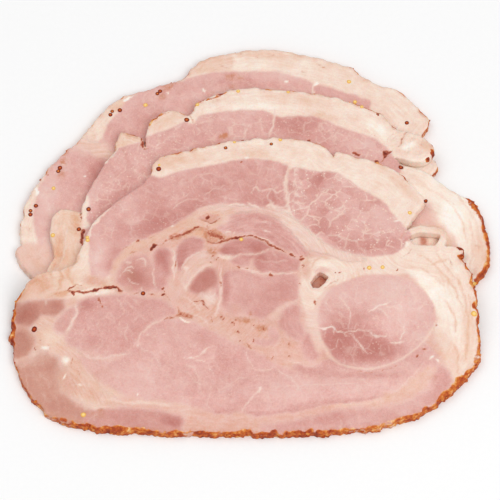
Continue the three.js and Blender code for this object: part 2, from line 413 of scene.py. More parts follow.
FRONT_MARKS: tuple[Mark, ...] = (
    # the fat of the right-hand side and its folds
    Area(((80, -31), (84, -28), (90, -34), (91, -46), (90, -55), (86, -53), (82, -49), (80, -42)), fatty(0.24), 6),
    Area(((81, -50), (86, -54), (89, -62), (86, -70), (81, -68), (79, -60)), fatty(0.55, 0.9), 5),
    Area(((92, -38), (95.5, -44), (96.5, -56), (93, -64), (91, -54)), fatty(0.55), 3),
    *(Line(path, 0.7, tint(warm=0.8), 1.2, 0.9) for path in (
        ((72, -14), (80, -19), (87, -27), (91, -38)), ((80, -13), (86, -20), (91, -28), (93, -40), (93.5, -52)),
        ((86, -55), (88.5, -60), (88.5, -68)), ((94, -32), (95, -44)), ((92.5, -47), (93, -54), (91.5, -62)),
        ((78, -19), (82, -17), (86, -14)), ((82, -33), (87, -41), (88, -50)), ((66, -20), (75, -22), (84, -28)))),
    # the fat of the left end
    Area(((-98, -24), (-90, -22), (-84, -30), (-86, -36), (-103, -37)), fatty(0.86, 0.8), 8, 1.2),
    Area(((-85, -22), (-76, -20), (-72, -27), (-77, -32), (-85, -32)), fatty(0.66), 7, 1.0),
    Area(((-76, -10), (-71, -8), (-70, -22), (-63, -29), (-72, -30), (-77, -20)), fatty(0.46), 5),
    Area(((-94, -45), (-86, -43), (-79, -53), (-72, -62), (-66, -74), (-56, -82), (-74, -80), (-82, -62), (-93, -58)),
         fatty(0.8, 0.68, streak=0.9), 6, 1.2, (-130, -110)),
    Spot((-86, -53), (4.5, 4), fatty(0.62), -30),
    # soft folds, sunk a little, with darker peach along them as painted shade
    *(Line(path, 1.3, tint(warm=0.98, sink=0.4), 2.0, 1.2) for path in (
        ((-75.5, -15), (-77, -18.5), (-79, -21)), ((-93, -22.5), (-88, -22), (-86, -26)), ((-90, -24), (-88, -31)),
        ((-84, -20), (-82, -26), (-84, -32)), ((-96, -28), (-92, -27), (-90, -32)), ((-80, -16), (-79, -26), (-76, -30)))),
    # tints of the outer strip
    Spot((-30, 32), (12, 3), tint(warm=0.62), 10),
    Spot((0, 36.5), (8, 2.6), tint(warm=0.64), -5),
    Spot((66, 20), (12, 2), tint(warm=0.72), -48),
    Spot((30, 37), (10, 3), tint(warm=0.46), -12),
    Spot((-37, 33), (7, 3), tint(warm=0.8), 10),
    # the pale tissue that everything inside lies in
    Area(
        ((-59, -22), (-52, -10), (-38, -3), (-22, 8), (5, 9), (20, 0), (30, -12), (50, -19), (70, -24), (80, -34),
         (78.4, -50), (82, -67), (72, -80), (50, -88), (0, -95), (-40, -93), (-64, -86), (-56, -80), (-68, -66), (-60, -34)),
        tissue(0.42, 0.8), 4, 1.0),
    # the crescent under that strip
    Area(
        ((-49, 26), (-41, 24), (-31, 27.5), (-16, 30.5), (-9, 32.5), (0, 33.5), (10, 32.5), (16.5, 29), (15, 22),
         (14.5, 13), (8, 9), (3, 8.5), (-7, 10.5), (-16, 10), (-22.5, 8.5), (-31.5, 1.5), (-44.5, -6), (-52, -9),
         (-57, -16), (-60, -22), (-63, -26), (-69, -25.5), (-70.5, -18), (-71, -7), (-73, 2), (-62, 14)),
        lean(0.4, 0.3), 1.3),
    *(deepen(*spot) for spot in (
        (-20, 21, 17, 5, 0.07, 10), (-32, 5, 9, 4.5, 0.24, 28), (-20, 13, 7, 5, 0.16, 15), (-42, 7, 6, 9, 0.13, 30),
        (-46, -2, 7, 4, 0.2, 30), (-57, -4, 6, 5, 0.1, 40), (-61, -17, 4, 5, 0.2), (-62, 4, 12, 5, -0.08, 45), (2, 14, 9, 5, 0.14),
        (-66, -18, 5, 9, -0.3), (11, 13, 3.4, 3, 0.18), (-12, 20, 3, 2, 0.14), (-60, -20, 3, 5, 0.12, -60))),
    # the marbled muscle at the right of it
    Area(
        ((17, 28), (21, 29), (26, 27.5), (37, 26.5), (41.5, 23.5), (47, 19), (54, 14.5), (58.5, 11), (64, 2.5),
         (67, -1), (69.5, -5), (67, -10), (62, -14), (54, -15.5), (47, -15), (37.5, -12), (32, -8.5), (26, -3),
         (20.5, 1.5), (17.5, 6), (16, 12), (15.8, 21)),
        lean(0.36, 0.8), 1.2),
    *(deepen(*spot) for spot in (
        (27, 21, 8, 6, 0.16, 20), (32, 24, 4, 3, 0.14, 60), (34, 12, 7, 4, 0.1, 60), (31, -1, 4, 4, 0.2),
        (46, -10, 12, 4.5, 0.2, -8), (63, -9, 5, 4, 0.14), (57, 4, 7, 7, -0.12), (22, 6, 4, 3, 0.1))),
    Spot((13.6, 10.2), (2.6, 3), lean(0.5, 0.3), 0, 0.6),
    # layered tissue between them and the fan of fibres below
    Area(
        ((-22, 7), (-12, 9.8), (3, 9), (12, 8), (17, 5), (14, 1), (7, 5.5), (0, 7), (-12, 5)),
        tissue(0.42, 0.5, streak=1.4), 2.6, 0.9, (-3, -30)),
    Area(
        ((12, 8), (19, 3), (27, -5), (38, -12.5), (50, -16.5), (44, -18), (30, -14), (22, -11), (14, 0)),
        tissue(0.6, 0.4, streak=1.6), 3.4, 0.9, (-3, -30)),
    *(Line(path, width, fatty(0.3, 0.75), 0.8, 0.7) for width, path in (
        (1.1, ((-11, 9.7), (-7, 10.8), (-3, 10))), (0.9, ((-2, 11.6), (0, 10), (5, 8.4))),
        (1.5, ((6.5, 9.4), (9, 10.2), (10, 8.4))), (1.0, ((13, 8), (16, 6.8))))),
    Area(
        ((-16, -1), (-13, 2.5), (-9, 4.8), (-0.5, 6), (5, 5.5), (10, 3.5), (14, 0), (18, -4.5), (22, -10), (25, -15),
         (19, -15), (12, -11.5), (6, -8), (0, -4.6), (-6, -5), (-13, -4)),
        lean(0.42, 0.1, streak=0.7), 2.4, centre=(2, -22)),
    deepen(8, -5, 5, 2.5, 0.1, -35),
    deepen(4, 4.5, 8, 1.5, 0.12),
    fleck(6.5, -2.6, 1.4, 0.5, 0, fat=0.6, warm=0.1),
    fleck(5.4, 1.9, 1.0, 0.3, 0, fat=0.5, warm=0.1),
    # white strokes along the crack's upper edge: painted highlight
    Line(((-11.6, -4.3), (-10.6, -3.2), (-9, -3.3)), 0.9, fatty(0.1, 0.85), 0.6, 0.3),
    Line(((-8.2, -5), (-7.6, -3.2)), 0.9, fatty(0.3, 0.7), 0.6, 0.3),
    # the soft bed that the small muscles lie in
    Area(
        ((-60, -20), (-55, -14), (-44, -9), (-30, -2), (-20, 3), (-16, -2), (-2, -6), (20, -15), (24, -20), (22, -32),
         (24, -44), (28, -55), (33, -64), (20, -67), (6, -63), (-12, -55.5), (-28, -46.5), (-38, -37), (-58, -33.5)),
        tissue(0.36, 0.85), 3, 1.0),
    Area(((-30, -33), (-18, -34), (-12, -44), (4, -47), (12, -50), (14, -60), (4, -60), (-12, -54), (-26, -45)),
         tissue(0.44, 0.9, streak=0.7), 4, 1.2, (-40, -20)),
    seam((-60, -27), (-58, -19), (-52, -11.5), (-44, -7.5), (-36, -3.6), (-28, 1.6), (-22, 6), width=3.6, warm=0.82,
         fat=0.66, fade=2.4),
    Area(((-30, -1), (-22, 7), (-12, 6.5), (-10, 3), (-14, -0.5), (-22, -2.5)), tissue(0.66, 0.82), 2.2),
    Spot((-23, -4.6), (6, 2.4), fatty(0.97, 0.9, pit=0.06), 12, 0.6),
    # the two long muscles right under the fan
    Area(
        ((-14, -12.5), (-11, -8.8), (-5, -6.6), (0, -6), (5, -8.5), (9, -11), (5, -13.2), (-1, -14), (-7, -15),
         (-12, -14.8)), lean(0.62, 0.05, streak=0.4), 1.8, centre=(-2, -40)),
    deepen(-10, -12.5, 4, 2, 0.16),
    deepen(2, -10.5, 5, 2.2, 0.18, -12),
    Area(
        ((1, -16), (5, -13.6), (9.5, -12.3), (16, -15), (22, -18), (22, -21), (15, -23.4), (8, -23.3), (2.5, -22.3)),
        lean(0.52, 0.05, streak=0.4), 2.0, centre=(30, 20)),
    deepen(4, -16.5, 3, 4, 0.2),
    Area(((-8, -16), (-2, -15.8), (-0.8, -19), (-5, -20.2), (-9, -18)), lean(0.5, 0.05), 1.8),
    Line(((1, -15.5), (0, -19), (1.6, -22.5)), 1.4, tint(fat=0.3), 1.6),
    Spot((-11.5, -15.9), (3, 1.2), fatty(0.4, 0.8), -10, 0.5),
    Spot((-1.4, -15.3), (3.4, 1.5), lean(0.6, 0.05), 0, 0.6),
    Spot((-15, -32), (1.5, 3), lean(0.42, 0.1), 0, 0.7),
    # the column muscles at the left of them
    Area(((-32.5, -11), (-29, -6.6), (-25, -5.6), (-21.2, -7), (-20.8, -11), (-24, -13.5), (-28, -17), (-30, -22),
          (-32, -21.5), (-33, -15)), lean(0.56, 0.05, streak=0.6), 1.8, centre=(-20, -34)),
    deepen(-30.5, -15, 2, 5, 0.16, -15),
    Area(((-42.5, -14), (-39, -11.5), (-35.6, -12.5), (-34.8, -18), (-35.3, -25), (-37.5, -31), (-40.5, -32),
          (-42.5, -26)), lean(0.5, 0.05, streak=0.3), 2.6, centre=(-80, -20)),
    deepen(-38.8, -15.8, 2.6, 4.5, 0.3),
    deepen(-36.5, -22, 1.6, 3, 0.12),
    Area(((-58.5, -24), (-55.5, -18), (-50, -14.8), (-46, -15), (-43, -19), (-42, -26), (-41, -31), (-45, -33.2),
          (-52, -32.6), (-57.5, -29)), lean(0.46, 0.05, brown=0.12), 2.6),
    deepen(-50.5, -25, 4.5, 4, 0.34, -30),
    deepen(-46, -28, 5, 3, 0.14),
    Spot((-52, -24.5), (3.5, 2), tint(brown=0.5), -30),
    Spot((-53, -31), (1.8, 1.7), tint(brown=0.4, depth=0.42), 0, 0.3),
    # the darkest muscle and the fat that winds round it
    Area(((-20.5, -13), (-26, -16.5), (-29.3, -21.5), (-31, -28), (-28, -31), (-25, -25), (-21, -21.5), (-17, -19),
          (-16.5, -15)), tissue(0.5, 0.55, streak=0.8), 1.6, centre=(-18, -28)),
    Line(((-17, -19.5), (-21.5, -21.8), (-25, -25), (-27.4, -29), (-28.4, -32)), 1.5, fatty(0.34, 0.8), 2.0, 0.9),
    Spot((-28.2, -21), (1.2, 1.0), fatty(0.2, 0.6), 0, 0.6),
    Area(((-27, -31.5), (-25.3, -27), (-22, -23), (-18.5, -21), (-15.8, -22), (-14.6, -26), (-15.6, -30), (-19, -32),
          (-23, -34)), lean(0.74, 0.05, brown=0.2), 2.4),
    Area(((-22, -34), (-18, -33.4), (-16, -35), (-15.6, -38), (-18, -40), (-21, -37.5)),
         tissue(0.56, 0.4, streak=0.9), 2.6, 1.2, (-10, -28)),
    # the broad muscle at their right, and the smaller ones below it
    Area(
        ((-12.2, -24), (-7, -21.8), (-0.5, -22.6), (5, -25), (13, -23.6), (19, -24.8), (20.6, -29.5), (20, -36),
         (15, -38), (10, -41.5), (6, -45), (1, -45.2), (-3, -43.5), (-9, -43), (-12.5, -40), (-13, -35), (-12.8, -29)),
        lean(0.42, 0.12), 1.8),
    deepen(-11.3, -30, 1.7, 8, 0.24),
    deepen(4, -37, 7, 5, 0.06),
    deepen(13, -32, 6, 4, 0.1),
    Spot((-7, -41.5), (3.5, 2.6), tint(warm=0.9, fat=0.22), 0),
    Area(((7.5, -44), (11, -41.2), (15, -38.2), (20, -36.6), (14.5, -40.3), (11.8, -44), (9, -46)), fatty(0.5, 0.55), 2.0),
    Area(((12, -46), (14, -41.2), (18, -38.8), (20.6, -40), (21, -47), (23, -53), (20, -56), (14.5, -52.5), (11.6, -49)),
         lean(0.46, 0.05, streak=0.4), 2.0, centre=(60, -40)),
    Area(((22, -54), (26, -53), (28.5, -58), (28, -63), (25, -64), (21.5, -60)), lean(0.44, 0.05), 2.4),
    Spot((5, -57), (4.5, 1.6), lean(0.38, 0.05), -5, 0.6),
    Spot((9.5, -53.5), (2.2, 3.5), lean(0.34, 0.05), 20, 0.6),
    Spot((21, -67.5), (3.6, 1.5), lean(0.44, 0.05), -10, 0.6),
    # the fat round the vein, and the seam down to the bottom of the eye muscle
    Area(((22, -17), (34, -16), (44, -18), (58, -18), (68, -20), (66, -24.5), (50, -24.5), (38, -29), (33, -31),
          (28.5, -37), (27, -44), (23.5, -43), (21, -36), (21, -25)), fatty(0.4, 0.92, streak=0.9), 2.0),
    Area(((27, -42), (28.6, -50), (31, -58), (28, -60), (24, -50), (23, -42)), tissue(0.6, 0.5, streak=0.9), 2.4),
    Area(((68, -22), (78, -24), (84, -31), (81, -42), (78.5, -38), (73, -30)), fatty(0.16), 3),
    Line(((26.5, -20.5), (27.5, -17.6), (30.5, -15.9), (34, -16.6)), 0.8, tint(warm=0.9, sink=0.25), 1.1),
    Spot((82.5, -1), (3, 3.4), fatty(0.7), 0, 0.7),
    Spot((31, -18.7), (3, 2.1), fatty(0.34, 1, sink=-0.25), 0, 0.8),
    Spot((30.5, -22.3), (3, 1.1), tissue(0.3, 0.6), 5, 0.8),
    Spot((23.4, -22), (2, 4), tissue(0.5, 0.8), 0, 0.8),
    # the left side
    Area(((-104, -37.6), (-96, -36.2), (-89, -36.4), (-85, -36), (-80.4, -36), (-79.4, -39.4), (-81.4, -42.6), (-85, -44.2),
          (-88, -43.4), (-89.8, -41.2), (-91.6, -44.6), (-95.5, -47), (-99.5, -46.2), (-104, -43)),
         lean(0.62, 0.05, brown=0.62), 2.6),
    deepen(-97, -41.5, 5, 3, 0.26),
    deepen(-85.5, -40.5, 3, 2.4, 0.16),
    Line(((-88.6, -35.8), (-88.2, -39)), 1.2, tint(fat=0.4), 1.2),
    Spot((-77.4, -38), (3, 2.4), tissue(0.5, 0.7), 0, 0.8),
    Spot((-89, -41.4), (2.4, 2.2), lean(0.66, brown=0.62), 0, 0.6),
    Spot((-81, -33.4), (4, 1.4), tint(warm=0.95), 10, 0.8),
    Spot((-67, -27.4), (5, 2.4), tissue(0.5, 1.0, stain=0.14), -10, 0.7),
    Spot((-102, -36.6), (2.4, 1.4), lean(0.6, brown=0.7), 0, 0.7),
    Spot((-97, -61.6), (4, 1.6), tissue(0.26, 0.9, brown=0.6), 8, 0.8),
    Line(((-79, -31.8), (-72, -31), (-66, -30.4), (-58, -30.6)), 1.8, tint(stain=0.35), 1.6),
    Area(((-104, -47), (-99, -45.4), (-95.5, -48), (-92.8, -52), (-93, -56), (-96, -60), (-101, -61), (-105, -58)),
         lean(0.38, 0.1, brown=0.7), 2.4),
    Area(((-105, -54), (-102, -48.6), (-98.6, -49), (-96, -51.5), (-95, -55), (-96.4, -58.3), (-100, -60), (-104, -59)),
         lean(0.74, 0.05, brown=0.8), 2.4),
    Area(((-76, -40), (-75.6, -44), (-78, -49), (-80.5, -52), (-84, -50.5), (-85, -48), (-82.5, -44), (-79.5, -41)),
         lean(0.42, 0.2, brown=0.1), 2.6),
    Area(
        ((-74, -37), (-69, -34.8), (-63, -34.2), (-57, -34), (-50, -34.8), (-44, -35.6), (-38.5, -36.5), (-34, -40),
         (-32.5, -43.2), (-37, -45), (-43.5, -48.5), (-47.5, -54), (-51, -59), (-56, -61.6), (-63, -62), (-71.5, -59.5),
         (-78, -56.5), (-80, -53), (-77, -48.5), (-75.5, -42.5)),
        lean(0.45, 0.25, streak=0.2), 2.6, centre=(-20, -90)),
    deepen(-72, -39, 4, 2, 0.16),
    deepen(-46, -40, 8, 3, 0.06),
    Area(
        ((-103, -64), (-97, -61.6), (-92, -58.8), (-87, -59), (-82.5, -62), (-80.5, -67), (-81, -71), (-78, -77),
         (-72, -82.5), (-66, -85), (-60, -86), (-66, -98), (-84, -93), (-102, -80)),
        lean(0.38, 0.1, brown=0.68), 4.5, 1.6),
    deepen(-92, -66, 4, 3, 0.14),
    deepen(-84, -66, 3.5, 4.5, 0.18),
    deepen(-89, -76.5, 6, 5, 0.12, -30),
    deepen(-96, -72, 3, 8, 0.2, 25),
    deepen(-78, -84.5, 12, 4, 0.22, -16),
    Line(((-98, -70), (-93, -80), (-84, -87.5), (-72, -91)), 3.0, tint(stain=0.4), 3.0, 1.0),
    *(Line(path, 0.4, tint(fat=0.3, warm=0.2), 0.8, 1.2) for path in (
        ((-91, -67), (-88, -70), (-86, -75)), ((-97, -68), (-95, -75), (-92, -80)), ((-90, -77), (-86, -81)), ((-93, -84), (-87, -87)))),
    # the broad lower muscle
    Area(
        ((-74, -62), (-66, -64), (-58, -63.5), (-50.5, -59), (-47, -53), (-42, -48), (-36, -45.6), (-30, -46.2),
         (-24, -48), (-17, -51.8), (-10, -56), (-2.5, -59.5), (4.5, -62), (10, -65.5), (17, -68), (23, -67.5),
         (29, -65), (36, -62), (54, -62), (68, -58), (73, -55), (77.6, -58), (80, -64),
         (77, -68), (73.5, -71.5), (67.5, -75), (61, -78), (54.5, -80.5), (44, -82), (35.5, -82.6), (29, -83.9),
         (20.5, -86), (12, -87), (4.5, -88.2), (-0.5, -87.8), (-5, -85.8), (-9, -87.4), (-16, -87.4), (-22, -85),
         (-30, -83), (-39, -81.5), (-47, -80.5), (-55, -78.5), (-62, -74.5), (-68, -69.5), (-72, -65)),
        lean(0.34, 0.2, streak=0.1), 1.8, 0.8, (-10, 60)),
    *(deepen(*spot) for spot in (
        (-50, -73, 13, 6, -0.06, -8), (-66, -70, 5, 7, -0.1, 40), (-6, -74, 24, 9, 0.05), (30, -76, 30, 5, -0.06),
        (14, -78, 12, 5, -0.08), (-14, -60, 14, 5, 0.08, -28), (28, -69, 9, 2.4, 0.14, -5), (50, -70.5, 12, 1.6, 0.16),
        (-4, -84, 8, 3, 0.08), (24, -83.5, 12, 1.4, 0.12, 12), (-20, -55, 5, 3, 0.1, -30))),
    # the eye muscle
    Area(
        ((38, -29.5), (44.5, -26.2), (53, -24.8), (61, -24.8), (67.5, -26.8), (73, -30), (77, -34), (79, -39), (79, -44),
         (76, -49.5), (73, -54.5), (68, -59), (61.5, -63), (53, -66), (44, -66.2), (36.5, -63.3), (31.5, -57.5),
         (28.8, -50), (28.3, -42.5), (29.8, -36), (33, -32)),
        lean(0.26, 0.3), 1.2),
    Line(((33.5, -31), (29.4, -37), (27.6, -45), (28.6, -53), (32, -60), (37, -64.8)), 1.4, fatty(0.5, 0.7), 2.0),
    Line(((37, -65), (45, -67.2), (53, -67), (62, -63.8), (70, -58.2), (76, -51.6), (80, -44)), 0.9, fatty(0.46, 0.66), 1.1),
    *(deepen(*spot) for spot in (
        (43, -57, 13, 6.5, 0.44, -2), (55, -60, 8.5, 4.2, 0.36, 12), (52, -54, 5, 3, 0.2), (36, -57, 7, 6, 0.3, -50), (44, -48, 9, 6, 0.22),
        (34, -43, 5, 5, 0.1), (49, -41, 5, 4, 0.08), (66, -36, 9, 7, -0.12))),
    # the strips along the rind, and the soft seams above them
    Area(((-70, -87), (-62, -84.6), (-54, -84.4), (-45, -85), (-37, -86), (-30.5, -87.5), (-27, -90.5), (-29, -95),
          (-40, -98), (-60, -98), (-70, -93)), lean(0.5, 0.1, brown=0.12), 2.0),
    Spot((-33.4, -90.3), (4.6, 1.9), tint(depth=0.86, fat=0.0, brown=0.0), -8, 0.7),
    deepen(-50, -88, 9, 2.5, 0.08),
    Area(((-27, -88), (-10, -89.4), (6, -90.4), (2, -98), (-26, -98)), tissue(0.38, 0.95), 3.0),
    Area(
        ((4, -92), (12, -90.6), (20.5, -89), (29, -86.6), (36, -85), (47, -84), (55.5, -83.8), (63, -81.5),
         (71, -77.5), (76, -73.4), (79, -67), (83, -66), (86, -73), (80, -81), (70, -88), (52, -98), (20, -100),
         (6, -98)),
        lean(0.38, 0.12, streak=0.1), 3.0, 0.9, (10, 160)),
    deepen(28, -89, 14, 3, 0.1, 8),
    deepen(68, -81, 10, 3, -0.08, 35),
    Area(((79, -66), (83, -66), (84, -71), (81, -76), (77.5, -78), (78, -72)), lean(0.44, 0.0), 4.0),
    Line(((-16, -86), (-8, -86.2), (4, -87), (14, -86), (24, -84.2), (34, -82), (48, -80.8), (57, -78.8)), 1.3,
         tint(depth=0.52), 1.6),
    Line(((-16, -88.6), (0, -89.4), (12, -88.6), (22, -87), (30, -85), (38, -83.6)), 1.9, tissue(0.34, 0.95), 1.6),
    Line(((34, -84), (40, -82.8), (48, -82), (56, -80.4), (64, -77)), 1.2, tissue(0.62, 0.6), 1.6, 0.9),
    Area(((54, -81), (62, -79), (70, -75), (76, -69.5), (79, -66), (74, -67), (67, -72.5), (58, -78)),
         tissue(0.62, 0.85), 3.4, 1.2),
    seam((-80, -58.6), (-76, -66), (-70, -74.5), (-62, -80.4), (-56, -82.2), width=3.0, warm=0.76, fat=0.6, fade=3.4),
    Spot((-66.5, -66.5), (4, 9), tint(fat=0.16, warm=0.8, depth=0.38), 40, 0.8),
    Spot((-79, -72), (3, 6), tint(fat=0.5, warm=1.0), 30, 0.8),
    Spot((-66, -87), (4, 2), lean(0.56, brown=0.4), 0, 0.8),
    seam((-64, -80), (-54, -81.8), (-43, -82.4), (-35, -83.6), width=1.2, warm=0.5, fat=0.8, fade=1.3),
    # fine pale seams between muscles
    *(vein(*path, width=width, fat=fat, twigs=0) for width, fat, path in (
        (0.8, 0.4, ((-50.5, -58.5), (-47, -53), (-42.5, -48.3), (-38, -45.6))),
        (0.9, 0.4, ((-72, -60.5), (-66, -62.4), (-60, -62), (-53, -61))),
        (1.0, 0.6, ((-76, -39), (-75.6, -44), (-79, -50))),
        (0.6, 0.45, ((-14, -14.8), (-7, -15.2), (0, -14.2), (5, -13.4), (8, -11.6))),
        (0.6, 0.35, ((2, -17), (8, -18.2), (16, -17.4))), (0.5, 0.35, ((9, -12.5), (10.5, -15.5))),
        (0.8, 0.55, ((-30.4, -22), (-28.3, -17.5), (-25, -14.6), (-20.8, -12.6))),
        (0.9, 0.6, ((-34, -12), (-33.9, -19), (-33.4, -27))), (0.6, 0.5, ((-32.9, -14), (-32.6, -24))),
        (1.0, 0.5, ((-13.4, -21), (-13.2, -29.5), (-13.7, -37), (-15.5, -45))),
        (0.7, 0.5, ((-42.8, -20), (-42.6, -26), (-41.6, -31))), (0.8, 0.5, ((-6, -20.8), (3, -23.2), (12, -23.8), (20, -23.6))),
        (0.6, 0.5, ((-31, -34), (-26, -37), (-22, -42))), (0.6, 0.5, ((-24, -44), (-20, -46), (-19, -49))),
        (0.6, 0.35, ((-58, -36), (-56, -39.5), (-53.5, -42.5))), (0.6, 0.35, ((-55, -35.6), (-51.5, -40), (-49, -42))),
        (0.6, 0.3, ((-52, -35.6), (-48, -39.6))), (0.6, 0.3, ((-50, -53), (-54, -50)))) ),
    seam((16.3, 29), (15, 23.5), (14.5, 20.5), (14, 16.5), width=1.0, warm=0.3, fat=0.7, fade=1.0),
    # veins of the two muscles at the top
    *(vein(*path, width=width, fat=fat, twigs=twigs) for width, fat, twigs, path in (
        (0.7, 0.6, 5, ((-0.5, 16), (1.5, 19), (4.5, 17.5), (8, 18), (11, 16.5), (14, 17.5), (17, 15.5), (19.5, 17.5))),
        (0.6, 0.5, 2, ((8, 18), (7, 14.5), (9, 11), (8, 8.5))), (0.8, 0.6, 2, ((14, 17), (16.6, 15.5), (16.2, 11), (17, 6.5))),
        (0.6, 0.55, 0, ((9, 12), (10, 9.5), (12.5, 8.8), (15.5, 10), (15.8, 13.5), (14, 16))),
        (0.7, 0.6, 1, ((16.5, 11), (20, 11.6), (22.5, 11.2), (23.5, 12))), (0.7, 0.6, 0, ((17.5, 7), (20, 8), (23, 8.4), (25, 10))),
        (0.5, 0.45, 0, ((-31.5, 17.5), (-29, 14.5), (-27, 16))), (0.5, 0.45, 0, ((-35.5, 7), (-31.5, 11), (-27, 13), (-21, 12))),
        (0.5, 0.4, 1, ((-26, 24), (-20, 26), (-14, 24.5))), (0.5, 0.4, 0, ((-21, 14), (-17, 18), (-12, 19.5))),
        (0.7, 0.55, 3, ((21, 2), (24, 5), (25.5, 10), (29, 13), (32.5, 17), (36.5, 19.5))),
        (0.5, 0.5, 2, ((32.5, 22.5), (36.5, 24), (41, 24))), (0.6, 0.5, 2, ((43, 8), (38.5, 5), (35, 2.4), (34, -1), (33, -3))),
        (0.7, 0.6, 3, ((33, -5.5), (37, -5), (40.5, -6.5), (44, -8), (48, -7.4), (51, -7))),
        (0.5, 0.5, 2, ((51, -7), (54, -4), (59, -4), (62, -2.5))), (0.5, 0.5, 2, ((45.5, -8), (47, -11), (50, -14.5))),
        (0.5, 0.5, 1, ((52, -8), (54, -11.5), (57, -12.5), (58, -15))), (0.5, 0.45, 1, ((41.5, -7), (41, -11), (42.5, -13))))),
    Line(((68.5, -1), (66, -4.5), (64.5, -8)), 1.2, tint(pit=0.22, sink=0.3), 1.2),
    # veins of the eye muscle and the lower ones
    *(vein(*path, width=width, fat=fat, warm=0.15, twigs=twigs) for width, fat, twigs, path in (
        (0.9, 0.75, 2, ((28.5, -50), (31.5, -50.6), (34.5, -49.4), (36.5, -51.4), (39.5, -52))),
        (0.6, 0.6, 1, ((39.5, -52), (43, -51.4), (49, -50.6), (53.5, -53), (58, -51.6))),
        (0.8, 0.7, 1, ((60, -54.6), (62, -55.4), (64.5, -54.4))), (0.6, 0.6, 1, ((64, -53.8), (65.5, -49.5), (66.4, -46))),
        (0.6, 0.6, 0, ((42, -52.5), (44.5, -54.6), (47, -57), (49.5, -60.5))),
        (0.8, 0.65, 2, ((50, -43), (51, -41.6), (54.5, -40), (57, -39), (60, -37))), (0.5, 0.5, 1, ((55, -41), (58.5, -44))),
        (0.5, 0.5, 1, ((57, -38.6), (61, -39.8), (65, -41))), (0.6, 0.5, 2, ((41.5, -51.5), (42, -46.5), (42.4, -41.5), (39, -37), (38, -35))),
        (0.5, 0.45, 2, ((45, -38), (45, -34), (46, -30))), (0.5, 0.4, 2, ((67, -40), (72, -38.5), (76, -37))),
        (0.5, 0.4, 2, ((33, -36), (32, -38.5), (34, -41))), (0.5, 0.4, 1, ((38, -55), (36, -58.5))),
        (0.5, 0.5, 0, ((-16, -58), (-21, -61.5), (-26, -63.4), (-29.5, -63))), (0.5, 0.45, 1, ((-26, -63.4), (-20.5, -65.4), (-17, -66.8))),
        (0.4, 0.35, 0, ((-26.5, -70.5), (-23, -73.5), (-21.5, -77.5), (-21.2, -81))), (0.6, 0.45, 1, ((5, -76), (3, -77.6), (0, -81), (-4.5, -86.5))),
        (0.5, 0.4, 0, ((-2.5, -60.5), (-0.5, -65), (2, -68), (6, -68.4), (9.5, -66.5))), (0.5, 0.4, 0, ((9, -66.2), (12, -68.5), (16.5, -71.5), (20, -75.4))),
        (0.4, 0.35, 0, ((-16, -87), (-19, -83), (-17, -78), (-20, -73))), (0.4, 0.3, 0, ((-3, -87), (-2, -83), (2, -78))),
        (0.4, 0.3, 0, ((14, -75.6), (20, -75.4), (30, -75), (44, -74))), (0.6, 0.35, 1, ((38, -94), (37.5, -89))),
        (0.5, 0.3, 0, ((62, -76), (68, -71), (74, -64))), (0.5, 0.35, 0, ((-42, -61), (-40, -64), (-39, -67))),
        (0.5, 0.4, 1, ((-53, -48), (-54, -53), (-52.6, -58))), (0.5, 0.4, 1, ((-22, -73), (-24, -68), (-28, -66))),
        (0.4, 0.35, 1, ((-48, -57), (-45, -60), (-41, -61))), (0.4, 0.35, 0, ((-10, -76), (-6, -72), (-2, -71))),
        (0.4, 0.35, 0, ((16, -64), (22, -66), (27, -66.4))), (0.4, 0.3, 1, ((40, -72), (46, -72.6), (52, -75))))),
    *(Spot((x, y), (0.7 * size, 0.5 * size), tint(fat=0.6, warm=0.2), 0, 0.9, ragged=1.6) for x, y, size in (
        (3.6, -76.8, 1.2), (-48.5, -57.6, 1.0), (-54.3, -61.6, 0.9), (12.6, -82, 0.7), (25.6, -88.8, 0.7), (-44, -52.6, 0.7),
        (-12, -86.2, 0.5), (-26, -63.3, 0.6), (-16.8, -66.8, 0.6), (-36.5, -52.8, 0.6), (-65.8, -47.8, 0.7))),
    # pale whorls of the small muscle at the left
    *(vein(*path, width=0.7, fat=0.48, warm=0.2, twigs=0) for path in (
        ((-55.6, -23.4), (-54.2, -20.8), (-52.4, -20), (-50.8, -21.4)), ((-54.6, -22.4), (-52.8, -22.2), (-51.8, -23.6)),
        ((-50.4, -17.4), (-48, -16.4), (-46.2, -17.8), (-45.4, -19.6)), ((-53.6, -26.2), (-51.4, -28.2), (-48.6, -29.2)),
        ((-57, -26), (-56.6, -24)), ((-54.8, -18.4), (-52.6, -18.2)), ((-47.5, -31), (-47, -32.5)),
        ((-20.4, -34.8), (-17.6, -35.4), (-15.6, -33.6), (-15.8, -31.4)), ((-19.4, -36.4), (-17, -35.2), (-15.4, -37.4)))),
    # cracks
    Area(((-20.5, -2.6), (-16.5, -1.2), (-13, -4), (-8.5, -6.6), (-12.5, -8.6), (-19, -8.8)),
         tissue(0.6, 1.0, pit=0.14, stain=0.7, sink=0.5), 1.4, 1.2),
    *(crack(*path, width=width, pit=pit, depth=depth) for width, pit, depth, path in (
        (0.8, 0.9, 0.6, ((-14, -7.8), (-11.5, -7.2), (-8.5, -7.1), (-5.8, -6), (-3.4, -5.2))),
        (0.5, 0.85, 0.4, ((-3.4, -5.2), (-0.5, -4.9), (3.5, -6.8), (9.6, -10.4), (13, -12), (15.4, -13.8))),
        (0.8, 0.95, 0.6, ((16.6, -14.4), (18, -15), (19.2, -15.9))), (0.8, 0.9, 0.5, ((20.2, -16.6), (22.6, -16.5))),
        (0.6, 0.6, 0.4, ((20.6, -15.2), (22, -15.5))), (0.9, 0.6, 0.5, ((-19, -3), (-17.4, -4.6), (-15, -5.4), (-12.4, -7.4))),
        (0.7, 0.6, 0.5, ((-19.4, -8), (-16, -8.6), (-13, -8))), (0.6, 0.55, 0.4, ((-19.6, 0.4), (-18.8, -1.4), (-19.2, -3.6))),
